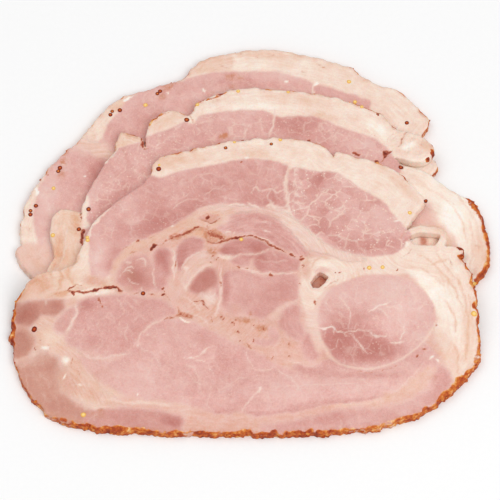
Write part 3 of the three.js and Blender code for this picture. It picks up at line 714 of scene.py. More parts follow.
        (0.8, 1.0, 0.6, ((-43.8, -11.8), (-42.4, -10.6), (-41.2, -9.4))), (0.4, 0.4, 0.3, ((-41, -9.2), (-39.6, -9.2), (-37.4, -8.8))),
        (0.5, 0.45, 0.3, ((-53.4, -14.4), (-51.6, -13.4), (-50, -12.2))), (0.5, 0.3, 0.3, ((-57, -13), (-54, -10.4), (-52, -9))),
        (0.6, 0.7, 0.5, ((-31, -5.6), (-29.4, -4.6), (-27.6, -3.8), (-26, -2.6))), (0.8, 0.5, 0.4, ((-26.6, -2.4), (-24.6, -1.4), (-22, -1.2))),
        (0.5, 0.3, 0.3, ((-47, -7), (-43, -6), (-41, -4.4))), (0.5, 0.5, 0.3, ((-33.3, -16.5), (-33.1, -20.5))),
        (0.5, 0.32, 0.3, ((-88, -35.6), (-84, -34), (-79.6, -32.2))), (0.6, 0.8, 0.5, ((-79.4, -32), (-78.4, -30.6), (-76.4, -29.8))),
        (0.4, 0.45, 0.3, ((-76.4, -29.8), (-73, -29.9))), (0.6, 0.75, 0.5, ((-79.2, -32.3), (-75, -32.8), (-71, -32.5), (-68, -32.4))),
        (0.9, 0.8, 0.6, ((-77.2, -32.8), (-76.4, -34.4))), (1.5, 1.0, 0.8, ((-68.6, -32.4), (-67.2, -32), (-66.2, -31.2))),
        (0.7, 0.8, 0.6, ((-66.2, -31.2), (-64, -30.8), (-62, -30.3))), (1.5, 0.85, 0.8, ((-62.6, -30.4), (-60, -30.3), (-58.2, -31))),
        (0.7, 0.9, 0.6, ((-58.2, -31), (-57, -32), (-55.4, -32.7))), (0.5, 0.55, 0.4, ((-51, -33.2), (-48.4, -33.1))),
        (0.6, 0.6, 0.4, ((-44, -33.9), (-41, -33.8))), (0.6, 0.9, 0.5, ((-38, -30.6), (-38.4, -31.6))), (0.7, 0.9, 0.5, ((-38.8, -34.1), (-37.6, -34))),
        (0.4, 0.4, 0.3, ((-37.4, -34.4), (-36.2, -35.4), (-34.4, -37.2))), (0.7, 0.55, 0.4, ((-66, -35.8), (-65, -37.6), (-64, -40))),
        (0.5, 0.5, 0.3, ((-38, -46.2), (-35, -44.9), (-33, -44.4))), (0.6, 0.6, 0.5, ((-24.6, -37), (-21.6, -37.1), (-20.4, -38.6), (-18.4, -41))),
        (0.5, 0.4, 0.3, ((-17.6, -44), (-16.4, -48))), (0.5, 0.5, 0.3, ((-2.4, -57), (-0.5, -59), (1.8, -60.3))), (0.4, 0.2, 0.2, ((1.8, -60.3), (4, -61.8))),
        (0.7, 0.55, 0.4, ((-7, -20.4), (-5.2, -20.9))), (0.6, 0.5, 0.3, ((-3.2, -21.2), (-2, -21))), (0.6, 0.7, 0.4, ((7.4, -24.3), (9.4, -24.3))),
        (0.5, 0.3, 0.3, ((31.5, -31), (34, -28.6), (37.6, -26))), (0.9, 0.42, 0.4, ((27.6, -36.6), (26.8, -39))), (0.4, 0.25, 0.2, ((25, -13), (24.4, -15.2))),
        (0.4, 0.4, 0.3, ((45, -68.7), (48.5, -69), (52, -68.8))), (0.4, 0.35, 0.2, ((55, -68.4), (60, -66.8), (63, -65.6))),
        (0.8, 0.5, 0.4, ((73, -58.2), (74.4, -57.4))), (0.8, 0.5, 0.4, ((70, -61.8), (71.2, -60.8))), (0.7, 0.3, 0.4, ((86.3, -14.5), (86.6, -16.4), (87.4, -18))),
        (0.4, 0.25, 0.2, ((63, -17), (68, -14), (70, -11.4))), (0.6, 0.4, 0.3, ((-77.4, -61.6), (-76.8, -65))), (0.5, 0.3, 0.3, ((-75.6, -67), (-73, -70.6))),
        (0.5, 0.5, 0.3, ((-90.8, -53), (-89.6, -53.8))), (0.4, 0.35, 0.3, ((-88, -55.4), (-86, -58))), (0.6, 0.25, 0.3, ((12, -36.2), (16, -37), (19.6, -35.6))))),
    Area(((-36, -5.2), (-33.5, -4), (-31.5, -4.6), (-32, -6.8), (-35, -7)), tissue(0.5, 1.0, pit=0.45, stain=0.3, sink=0.5), 1.0, 0.5),
    Line(((-37, -8), (-33, -6), (-28, -3.8), (-24, -2), (-19, -2)), 2.4, tint(stain=0.55, pit=0.1), 1.6, 1.0),
    crack((-36, -6.8), (-32.4, -5.6), (-28.4, -3.8), (-25, -1.8), (-21.5, -0.9), width=0.9, pit=0.62, depth=0.6),
    crack((-18, -2.6), (-14.6, -5.2), (-12, -6.6), (-8, -6.9), width=0.7, pit=0.6, depth=0.6),
    fleck(-37.4, -7.8, 0.5, 0.9, pit=0.5, stain=0.5),
    fleck(-49.3, -8.2, 0.6, 0.5, pit=0.5),
    Area(((-23.4, 3.6), (-21, 5.2), (-17.6, 5.6), (-14.6, 4.8), (-13.4, 3.4), (-15.4, 2), (-17.6, 1.2), (-20.6, 2.4)),
         tissue(0.3, 0.95, depth=0.45, sink=0.5), 0.9, 0.3),
    crack((-23.4, 3.8), (-21, 5.3), (-17.6, 5.7), (-14.4, 4.8), (-13.3, 3.4), width=0.3, pit=0.3, depth=0.2),
    crack((-23.2, 3.4), (-20.8, 2.6), (-18.8, 1.8), (-17.4, 1.2), (-15, 2.2), (-13.6, 3.2), width=0.5, pit=0.55, depth=0.4),
    fleck(-19.4, 3.9, 0.8, 0.6, pit=1.0, sink=0.6),
    # cream lines along the edges of the main crack and of the long crack at the left: painted highlight
    seam((2, -5.4), (6, -7.2), (9.6, -9.2), width=0.6, warm=0.2, fat=0.7, fade=0.6),
    seam((-79, -33.8), (-70, -33.8), (-66, -33.2), (-60, -32.4), width=0.9, warm=0.3, fat=0.85, fade=0.9),
    Area(((-31.8, -39.6), (-30.2, -42), (-27.2, -42.8), (-25, -44.4), (-25.5, -45.6), (-30, -44.8), (-33.6, -44.4),
          (-31.4, -43)), tissue(0.6, 1.0, pit=0.38, stain=0.5, sink=0.5), 1.0, 0.4),
    seam((-30.8, -45.4), (-28.8, -46.9), (-26, -47.5), width=0.9, warm=0.0, fat=1, fade=0.6),
    # crust that has crept onto the face
    *(Spot((x, y), (long, wide), tint(rind=rind), turn, 0.5, ragged=0.8) for x, y, long, wide, turn, rind in (
        (88.8, -71.8, 5, 2.2, 50, 1.0), (91, -9.4, 1.5, 0.6, -12, 1.3), (93, -11.4, 0.6, 1.2, 0, 1.3),
        (82, -79, 5, 1.9, 44, 0.95), (92.4, -68, 2.6, 1.3, 64, 0.95),
        (-103.4, -45.6, 1.5, 2.6, 0, 1.4), (-103.2, -53.8, 1.2, 2.8, 0, 1.4), (-103, -40.5, 0.8, 3, 0, 1.2), (-102.8, -49.6, 0.8, 2.6, 0, 0.8),
        (96.2, -37, 0.9, 1.6, 0, 1.3), (-58, -93.6, 6, 1.5, 0, 1.1), (-44, -95.2, 3.4, 1.2, 0, 1.1), (28.5, -95.2, 2, 1.1, 0, 1.0))),
    Line(((98.4, -46), (98, -54), (95.6, -64), (91, -71)), 2.4, tint(rind=0.62), 1.4, 1.0),
    *(Spot((x, y), (long, wide), tint(rind=-less), turn, 0.6, shade=True) for x, y, long, wide, turn, less in (
        (-82, -88.6, 6, 2.4, -26, 0.24), (46, -94, 4, 2, 0, 0.3), (57, -92, 4, 2, 10, 0.3), (-27, -95, 2.4, 2, 0, 0.4))),
    # white fat, partly painted glints of its wet sheen, brown specks and spice stains
    # white flecks of fat, partly painted highlights of the wet sheen
    *(Spot((x, y), (long, wide), tint(fat=0.9, warm=0.05, sink=-0.1), turn, 0.9, ragged=0.6)
      for x, y, long, wide, turn in (
          (-88.6, -57.2, 1.7, 0.7, -10), (-79.4, -63.4, 1.2, 1.7, 10), (-80, -70.2, 1.2, 0.4, 50), (-73.4, -74, 0.7, 0.4, 0),
          (-48.5, -79, 0.5, 0.4, 0), (77, -62, 1.3, 0.5, 50), (79.4, -63, 1.1, 0.5, -40), (63.5, 2, 1.2, 0.6, 0), (67.6, -9.4, 1.0, 0.6, 60),
          (-66.5, -33.8, 0.8, 0.6, 0), (-2, 33.6, 0.8, 0.5, 0), (-34.5, -0.4, 0.4, 0.3, 0))),
    Line(((-71.8, -7), (-70.2, -2), (-67.6, 2.8), (-64, 6.4), (-61.4, 9)), 1.3, fatty(0.3, 0.85), 1.2, 1.3),
    *(fleck(x, y, 0.7, 0.35, 90 * math.sin(9 * x), pit=0.55, sink=0.15)
      for x, y in ((-17.4, -15.6), (-14.6, -16.4), (-17.6, -18), (22, -19.8), (22.6, -21), (-12.9, -44.7), (-11.8, -46),
                   (-7, -46.8), (-8.4, -48), (-5.8, -52.3), (1.5, -48.8), (5.2, -50.6), (16, -57.6), (16, -62.4), (8.5, -63.4),
                   (-13.6, -28.6), (-13.5, -29.6), (-5, -56.4), (0.8, -56.4), (20.9, -28.5), (4.4, -46.3), (79.4, -46.6),
                   (-4.4, 31.8), (63, -21.3), (48.6, -21.6), (36, -23.4), (38.4, -23), (-37.9, -32.6), (-92.6, -57))),
    *(Spot((x, y), (long, wide), tint(stain=amount), 0, 0.7)
      for x, y, long, wide, amount in (
          (-17, -13, 2.4, 2.0, 1.0), (-17.5, -16, 3, 2, 0.4), (-2.6, -46.4, 3, 1.6, 0.8), (-5, -45.8, 2.4, 1.2, 0.6), (-0.5, -43.6, 0.9, 1.4, 0.6),
          (4.6, -50.2, 2.6, 1.6, 0.8), (1.5, -46, 1.4, 0.9, 0.4), (-12.6, -45, 1.4, 1.2, 0.5), (16, -58, 0.9, 1.4, 0.4), (8, -63.5, 2, 0.9, 0.4),
          (-66, -87, 4, 1.5, 0.35), (-64, -85, 1.6, 0.8, 0.5), (25, -16.5, 1.6, 2.4, 0.3), (74, -70.4, 6, 1.6, 0.3), (61, -78.4, 7, 1.2, 0.25),
          (-94, -27, 3, 3, 0.25), (-20, 33, 1.4, 0.7, 0.4), (-14, -12, 1.6, 1.2, 0.3))),
)

MIDDLE_MARKS: tuple[Mark, ...] = (
    # the broad muscles
    Area(
        ((-90, 12), (-70, 28), (-62, 44), (-50, 47), (-46, 47.5), (-43, 49), (-38, 50.8), (-34, 53), (-29.5, 55),
         (-26, 54), (-23, 58), (-14, 60), (-5, 61), (4, 61), (8, 60), (12, 57.5), (18, 58), (29, 57.5), (40.5, 52),
         (48.5, 49), (56, 45.5), (62, 39), (65, 31), (62, 20), (70, 0), (60, -50), (0, -66), (-70, -50), (-84, -20)),
        lean(0.36, 0.46), 1.2),
    # the spots at (-72, 14) and (-62, 14) are painted shade that deepens towards the front slice's edge
    *(deepen(*spot) for spot in (
        (19, 53, 9, 4.5, 0.24), (52, 42, 12, 4, -0.06, -25), (-72, 14, 9, 5, -0.12, 40), (-62, 14, 12, 4, 0.14, 42),
        (-30, 46, 10, 3, 0.06, 20), (28, 47, 8, 3, 0.06, -10))),
    Area(((66, 33), (72, 22), (74, 14), (80, 10), (84, 0), (78, -30), (100, -40), (112, 0), (104, 22), (80, 36)),
         fatty(0.3), 1.6),
    Spot((88, 4), (5, 14), fatty(0.08), -8, 0.6),
    *(Line(path, 0.6, tint(warm=0.64), 1.3, 0.9) for path in (
        ((76, 22), (84, 17), (92, 8), (95, -4)), ((86, 24), (94, 15), (99, 6), (100, -8)), ((82, 27), (88, 22), (93, 16)),
        ((88, -2), (92, -10), (92, -20)), ((96, 8), (97, -6), (95, -18)))),
    *(Spot((x, y), (1.6, 0.6), tint(stain=0.3), -40, 0.6) for x, y in ((83.5, 21.5), (88.4, 14.6), (99, -6))),
    # the fat of the left end, folded over once, with painted shade beside the fold
    Area(((-92, 12), (-76, 12), (-74.6, 4), (-73.4, -1), (-74, -10), (-78, -22), (-92, -30)),
         fatty(0.62, 1, streak=0.5), 1.2),
    Area(((-77, 12.5), (-73.4, 18), (-71.4, 15), (-72.2, 6), (-71, 1.5), (-75, 2)), fatty(0.36), 1.6, 0.8),
    Spot((-84, 6), (3, 3), tint(warm=0.66), 0, 0.8),
    # painted shade at the folded flap's right edge
    Spot((-77.4, 3), (2.4, 7), tint(warm=1.0, stain=0.16), 0, 0.8),
    # darker peach beside the fold: painted shade
    Spot((-84, -10), (3.4, 7), tint(warm=0.95), 0, 0.8),
    Spot((-78.5, -8), (2.6, 9), tint(warm=0.66), 10, 0.8),
    # the fold: a real step, with painted shade along it
    Line(((-83, 1), (-82.8, -4), (-83.2, -10), (-85, -16), (-87, -20)), 3.2, tint(stain=0.26, sink=0.8), 2.4, 0.6),
    Line(((-81.3, -1), (-81.2, -6), (-81.6, -11), (-83.4, -17)), 0.6, tint(warm=0.5, pit=0.12), 0.6, 0.8),
    Line(((-66, 33.6), (-64, 35.6), (-62, 38.4), (-60, 41.8), (-58, 42.6)), 1.6, fatty(0.2), 1.0, 1.5),
    Area(((-62, 40), (-60, 52), (-50, 50), (-49, 45), (-54, 43.4), (-59, 41.6)), fatty(0.68, 1, streak=0.9), 1.0),
    crack((-75.2, 10), (-75, 4), width=0.6, pit=0.55, depth=0.5),
    crack((-73.4, 0.5), (-74, -3), (-74.6, -7.6), width=1.1, pit=0.8, depth=0.8),
    crack((-84.8, 3), (-82, 4.5), (-80.4, 3), width=0.4, pit=0.12, depth=0.3),
    # seams and veins
    seam((10.5, 62), (10.3, 57), (9.2, 52), (8, 47), width=0.9, warm=0.3, fat=0.65, fade=1.0),
    *(vein(*path, width=0.5, fat=fat, twigs=twigs) for fat, twigs, path in (
        (0.6, 2, ((-0.5, 54), (-2, 52), (-3, 48), (-4, 46))), (0.4, 0, ((-10.4, 54), (-9, 50), (-8.6, 46))), (0.4, 0, ((-22, 52), (-19.6, 49), (-17, 45))),
        (0.4, 1, ((-40, 44), (-36, 47), (-31, 48))), (0.5, 2, ((24, 55), (23, 51), (24, 48))), (0.5, 2, ((31, 53), (33, 50), (36, 51.6))),
        (0.45, 2, ((38, 50), (36.6, 46.6), (37.6, 43))), (0.4, 2, ((44, 50), (42, 46), (38, 44))), (0.4, 1, ((-63, 24), (-58, 28), (-55, 33))),
        (0.35, 1, ((-52, 38), (-50, 34), (-46, 32))), (0.35, 0, ((-66, 22), (-60, 20), (-54, 24))))),
    # tints of the outer strip
    Spot((-38, 55.5), (7, 3), tint(warm=0.66), 30, 0.8),
    Spot((2, 63), (14, 1.6), tint(warm=0.24)),
    Spot((32, 58), (6, 2), tint(warm=0.66), -15),
    Spot((24, 66), (14, 2.5), tint(warm=0.6), -8),
    Spot((56, 52), (6, 2.6), tint(warm=0.12), -40, 0.7),
    # the lobe at the right, with a painted highlight and painted shade, its creases and the tear beside it
    Spot((71.5, 41), (8, 7), fatty(0.5, 1, sink=-0.45), 0, 0.4),
    # a painted highlight on the lobe's dome
    Spot((70, 42.4), (3, 1.4), tint(warm=0.1), 30, 0.8),
    # painted shade on the lobe's right side
    Spot((79, 43), (3, 5), tint(warm=0.72), 20, 0.8),
    Spot((71, 34.4), (8, 3), tint(warm=0.34), 5, 0.8),
    *(crack(*path, width=width, pit=pit, depth=depth) for width, pit, depth, path in (
        (0.9, 0.3, 0.8, ((69.6, 50.6), (67.4, 46.6), (65, 41.6))), (0.7, 0.2, 0.6, ((73, 49.4), (70.4, 45), (69, 38))),
        (0.6, 0.18, 0.5, ((77, 48), (75.4, 42), (74.6, 36.6))), (0.7, 0.18, 0.5, ((60, 42.8), (61, 46.4), (63.4, 49), (65.6, 49.6))),
        (0.6, 0.2, 0.5, ((65, 48.6), (62.4, 44.8))), (0.6, 0.25, 0.4, ((62.4, 38.4), (65, 35.6), (68.6, 32.4))),
        (0.4, 0.45, 0.3, ((57.4, 33.6), (58.8, 36.4), (60, 39))), (0.4, 0.3, 0.3, ((52, 49.8), (54, 48.6), (57, 45.6))))),
    Area(((60.5, 38), (63, 37), (66.5, 33.2), (65.6, 28.6), (60, 31), (57.6, 35)), lean(0.4, 0.1), 1.2, 0.5),
    Area(((58.8, 40.2), (61, 39.9), (62.6, 40), (60.4, 37.8), (59, 36.4)), tint(pit=0.9, sink=0.6), 0.6, 0.3),
    Spot((80.6, 39.4), (1.0, 1.4), tint(rind=1.6, sink=0.3), 20, 0.5, ragged=1.2),
    Spot((78.2, 36.2), (1.2, 0.6), tint(rind=1.6, sink=0.3), 30, 0.5, ragged=1.2),
    Spot((-14, 69.6), (1.7, 0.6), tint(rind=1.2), 8, 0.5, ragged=0.8),
    Line(((94.4, 19.5), (100.2, 10), (103.4, -1), (104, -11), (101, -20)), 2.6, tint(rind=0.64), 1.6, 1.0),
    Spot((97.4, -19), (3, 3), tint(stain=0.4), 0, 0.7),
    Line(((-24.4, 65), (-18, 67.2), (-12, 69.4)), 1.6, tint(rind=0.6), 1.2, 0.8),
    Line(((-46, 50), (-45.4, 54), (-41, 58.6), (-36, 60.6)), 1.2, tint(rind=0.6), 1.0, 0.8),
    Line(((29, 72), (33, 71), (37, 70)), 1.2, tint(rind=0.8), 0.8, 0.8),
    Line(((43, 68), (47, 65.6), (51, 62.6)), 1.2, tint(rind=0.8), 0.8, 0.8),
    Spot((-17, 66), (6, 1.6), tint(stain=0.3), 14, 0.7),
    Spot((73, 26.4), (6, 3), tint(warm=0.55), -40),
    # cracks, stains, and the gaps under the front slice's edge, darkened with painted shade
    crack((-49, 48), (-48.6, 44), (-48, 40.5), width=0.7, pit=0.9),
    crack((-48.3, 41), (-46, 41), width=0.4, pit=0.5),
    crack((-58.6, 42), (-57, 40), (-55.6, 38), width=0.4, pit=0.4),
    crack((-27.4, 58.4), (-26.2, 56.6), (-26.6, 54.6), width=0.6, pit=0.45),
    Spot((-12.5, 47.5), (2.2, 1.5), tint(stain=1.0, pit=0.15), 10, 0.6),
    # painted shade in the gaps under the front slice's edge
    *(fleck(x, y, long, 0.55, turn, pit=1.0, sink=0.4) for x, y, long, turn in (
        (46.5, 38.4, 1.7, -18), (55.6, 34.2, 1.3, -30), (25.4, 44.6, 0.6, -10), (57, 59.4, 1.0, -30), (-27, 39.4, 0.8, 15), (-31, 38.2, 1.1, 20))),
    fleck(66.4, 31.6, 1.0, 0.9, 30, pit=1.0, sink=0.8),
    # what shows inside the curled flap, and under the vein's hole, of the front slice, with painted shade and light
    Area(((67, 3), (72, 10), (76, 14), (79, 11), (81, 4), (86, 0), (90, -6), (88, -12), (68, -9)), tissue(0.3, 0.6), 4.4, 0.9),
    deepen(69.5, 3, 3, 2, 0.3, 30),
    Area(((66, 1), (85, 1), (86, -9), (66, -9)), fatty(0.7, stain=0.2), 1.6),
    # painted shadow under the curled strip
    Spot((75.4, -5.6), (1.8, 2.4), lean(0.8, 0.0, brown=0.7, pit=0.3), 0, 0.7),
    # cream, made paler to offset the shadow in the opening: partly painted light
    Spot((70.6, -5.6), (2.4, 4), fatty(0.1), 0, 0.7),
    Spot((79, -5.6), (2.4, 4), fatty(0.5), 0, 0.7),
    Spot((101, -8), (4, 10), tint(warm=0.65), 0, 0.7),
    Area(((25, -31), (30, -31), (30, -20), (25, -20)), lean(0.5, 0.0, brown=0.8, pit=0.1), 0.8, 0.2),
    # the darker right half of the floor seen through the vein's hole is painted shade
    Area(((29.6, -33), (36, -33), (36, -20), (30.4, -20)), tint(pit=0.34, fat=0.0, depth=0.6), 0.8, 0.3),
)

BACK_MARKS: tuple[Mark, ...] = (
    # the muscle, from the top fat to the lower left
    Area(
        ((-31, 80), (-23, 82.3), (-14.5, 84.2), (-5, 84), (5, 84), (11.5, 84), (17.5, 82), (23.5, 80), (27.8, 77.5),
         (28.3, 73), (27, 60), (30, 20), (-10, -30), (-70, -30), (-98, -10), (-94, -5), (-95.5, 3), (-96.5, 10),
         (-95.5, 18), (-94.5, 24), (-92, 28), (-90, 34), (-84, 44), (-79, 48), (-74, 44), (-68, 40), (-64, 41),
         (-68, 46.5), (-66.5, 49.5), (-64.5, 56.5), (-61, 61), (-57, 68), (-54.5, 71.5), (-46, 76.5), (-39, 79.3)),
        lean(0.32, 0.22), 1.5),
    Area(((27.5, 74.8), (31, 76.8), (40, 73.8), (48, 70.8), (54, 67), (46, 55), (30, 50), (27, 70)), lean(0.36, 0.1), 1.3),
    seam((28.5, 79), (28, 75), (27, 68), width=1.0, warm=0.3, fat=0.8, fade=0.9),
    fleck(29.2, 77.2, 1.0, 0.7, 0, fat=1, warm=-0.1),
    # the seam of fat that crosses the left end
    Area(((-84, 46), (-78, 49), (-68, 47), (-62, 43), (-58, 36), (-62, 36.5), (-66, 38), (-72, 40.5), (-79, 43.5)),
         tissue(0.6, 0.55, streak=1.3), 4.0, 1.6, (-70, 90)),
    *(Line(path, 0.8, tint(stain=0.35, pit=0.06), 0.8, 0.8) for path in (
        ((-73.5, 42.6), (-71, 42)), ((-73, 39.8), (-69, 38.6), (-65, 39)), ((-99, -11.5), (-95, -10.6)), ((-96, -13), (-90, -10.4)),
        ((-92, -9.5), (-88.6, -8.4)), ((-97.4, 3), (-96.8, 1)), ((-68, 55.6), (-67, 56.6)), ((-72, 50), (-70, 51)))),
    # the dark patch at (-68, 33), beside the middle slice's edge, is painted shade
    *(deepen(*spot) for spot in (
        (-48, 56, 10, 7, 0.12, 30), (-68, 33, 4, 8, 0.3, -20), (-74, 24, 7, 12, 0.08, 20), (-88, 6, 6, 12, -0.1),
        (-88, -8, 8, 6, -0.2), (-8, 77, 24, 3, 0.1), (-62, 54, 4, 6, 0.04), (-76, 38, 6, 3, 0.1),
        (-90, 20, 4, 8, -0.12), (-84, 16, 8, 3, 0.06), (12, 82, 12, 2, -0.12))),
    Area(((-104, -5), (-92, -6), (-87, -10), (-90, -20), (-104, -18)), tissue(0.6, 0.6, streak=0.5), 3.5, 1.6),
    # tints of the outer fat
    Area(((-34, 79), (-24, 83), (-9, 85.4), (-9, 93), (-16, 94), (-26, 92)), fatty(0.68, 0.92, streak=0.8), 1.8),
    Spot((10, 93), (26, 2), tint(warm=0.6), -3, 0.8),
    Spot((46, 84), (10, 3), tint(warm=0.56), -25, 0.8),
    Spot((0, 87), (10, 2), tint(warm=0.3), 0, 0.8),
    Spot((62, 66), (12, 5), tint(warm=0.42), -40, 0.8),
    Spot((-60, 66), (2.4, 6), tint(warm=0.75), -50, 0.7),
    Spot((-69, 54), (2, 8), tint(warm=0.4), -50, 0.7),
    *(Spot((x, y), (1.2, 0.35), tint(stain=0.5), -12, 0.6) for x, y in (
        (9.5, 93), (2, 92), (17, 92.4), (-13.4, 87), (-12, 86.4), (22.6, 84.6), (30.6, 88), (24, 83.4), (-4, 93.4), (33, 86))),
    seam((-57, 69.5), (-51, 73), (-44, 76.8), (-37, 79), width=0.6, warm=0.8, fat=0.6, fade=0.7),
    # cracks, slits and stains
    crack((-33.5, 79.8), (-34.5, 76.5), (-35.5, 74), width=0.4, pit=0.35),
    crack((-84.5, 42), (-83, 38), (-82.5, 34), width=0.4, pit=0.3),
    fleck(-55.5, 69.6, 1.8, 0.7, 35, fat=1, warm=-0.6),
    fleck(-95.2, 21.5, 0.6, 1.9, 0, fat=1, warm=-0.6),
    *(Spot((x, y), (long, wide), tint(stain=amount), turn, 0.7) for x, y, long, wide, amount, turn in (
        (-84, 36.5, 1.7, 2.4, 0.8, 0), (-84.4, 30, 2.2, 3, 0.5, 0), (-38, 76, 3, 1.8, 0.8, 30), (-8, 81, 4.5, 2, 0.55, 0), (-8, 76, 3, 2, 0.35, 0),
        (-41, 70.6, 2.8, 1.8, 0.6, 0), (-16, 73, 5, 1.4, 0.4, 25), (-58, 61, 2, 3, 0.12, 0))),
    crack((-92, 33), (-91, 31), (-90, 30), width=0.7, depth=0.3, pit=0.7),
    crack((-48, 75.5), (-46.5, 75.5), width=0.7, depth=0.3, pit=0.7),
    *(vein(*path, width=0.4, fat=0.4, twigs=1) for path in (
        ((-40, 66), (-38.4, 63), (-38, 60)), ((-48, 64), (-44, 60)), ((-34, 63), (-31, 62)), ((-6, 80), (0, 77), (4, 73)), ((-78, 20), (-80, 12), (-78, 4)))),
    *(fleck(x, y, 0.7, 0.6, fat=0.9, warm=0.0) for x, y in ((-21, 74), (-38, 72.5), (-74, 29.5), (-84, 35), (16.4, 78.4))),
)


# The painted face


class Canvas:
    """The layers of a slice's vertices while its marks are laid down."""

    def __init__(self, at: np.ndarray, rim_gap: np.ndarray, seed: float) -> None:
        """Starts every vertex as plain fat.

        Args:
            at: The vertices' places in plan.
            rim_gap: Their distances from the slice's outline.
            seed: Where this slice's noise is taken from.
        """
        self.at = at
        self.layers: dict[Layer, np.ndarray] = {layer: np.zeros(len(at)) for layer in Layer}
        self.layers[Layer.FAT][:] = 1.0
        self.layers[Layer.WARM][:] = 0.42
        self.layers[Layer.DEPTH][:] = 0.35
        self.layers[Layer.STREAK][:] = 0.55
        self.sway = np.stack(
            [
                field_of(at, 3.2, seed) + 0.45 * field_of(at, 1.1, seed + 7),
                field_of(at, 3.2, seed + 13) + 0.45 * field_of(at, 1.1, seed + 19),
            ],
            axis=1,
        )
        turn = np.arctan2(at[:, 1], at[:, 0])
        self.fibre = np.stack([rim_gap, turn * 70.0], axis=1)

    def lay(self, mark: Mark) -> None:
        """Lays one mark over what is there."""
        low, high = mark.reach()
        near = np.flatnonzero(((self.at > low) & (self.at < high)).all(axis=1))
        if not len(near):
            return
        place = self.at[near]
        mask = mark.mask(place + mark.ragged * self.sway[near])
        for layer, value in mark.tints.items():
            values = self.layers[layer]
            if isinstance(mark, Spot) and mark.shade:
                values[near] += mask * value
            else:
                values[near] += mask * (value - values[near])
        if isinstance(mark, Area) and mark.centre:
            out = place - np.array(mark.centre)
            radius = np.hypot(*out.T)
            turn = np.arctan2(out[:, 1], out[:, 0])
            curved = np.stack([radius, turn * float(radius.mean())], axis=1)
            within = mask > 0.5
            self.fibre[near[within]] = curved[within]


# Materials


class Wire:
    """An output socket, with arithmetic that adds Math nodes."""

    def __init__(self, nodes: Nodes, socket: bpy.types.NodeSocket) -> None:
        """Wraps one socket of a node tree."""
        self.nodes = nodes
        self.socket = socket

    def _math(self, operation: str, *values: object) -> Wire:
        """The result of a Math node."""
        return self.nodes.add("ShaderNodeMath", *values, operation=operation)

    def __add__(self, other: object) -> Wire:
        """This value plus another."""
        return self._math("ADD", self, other)

    def __radd__(self, other: object) -> Wire:
        """Another value plus this."""
        return self._math("ADD", other, self)

    def __sub__(self, other: object) -> Wire:
        """This value minus another."""
        return self._math("SUBTRACT", self, other)

    def __rsub__(self, other: object) -> Wire:
        """Another value minus this."""
        return self._math("SUBTRACT", other, self)

    def __mul__(self, other: object) -> Wire:
        """This value times another."""
        return self._math("MULTIPLY", self, other)

    def __rmul__(self, other: object) -> Wire:
        """Another value times this."""
        return self._math("MULTIPLY", other, self)

    def __truediv__(self, other: object) -> Wire:
        """This value over another."""
        return self._math("DIVIDE", self, other)

    def largest(self, other: object) -> Wire:
        """The larger of this value and another."""
        return self._math("MAXIMUM", self, other)

    def ramp(self, low: float, high: float) -> Wire:
        """A smooth ramp from 0 at the low value to 1 at the high one."""
        return self.nodes.add(
            "ShaderNodeMapRange", self, interpolation_type="SMOOTHSTEP", sockets={"From Min": low, "From Max": high}
        )


Colour = tuple[int, int, int]


def linear(colour: Colour) -> tuple[float, float, float, float]:
    """The scene-linear form of an everyday colour with parts up to 255."""
    parts = (part / 255 for part in colour)
    return (*(p / 12.92 if p <= 0.04045 else ((p + 0.055) / 1.055) ** 2.4 for p in parts), 1.0)


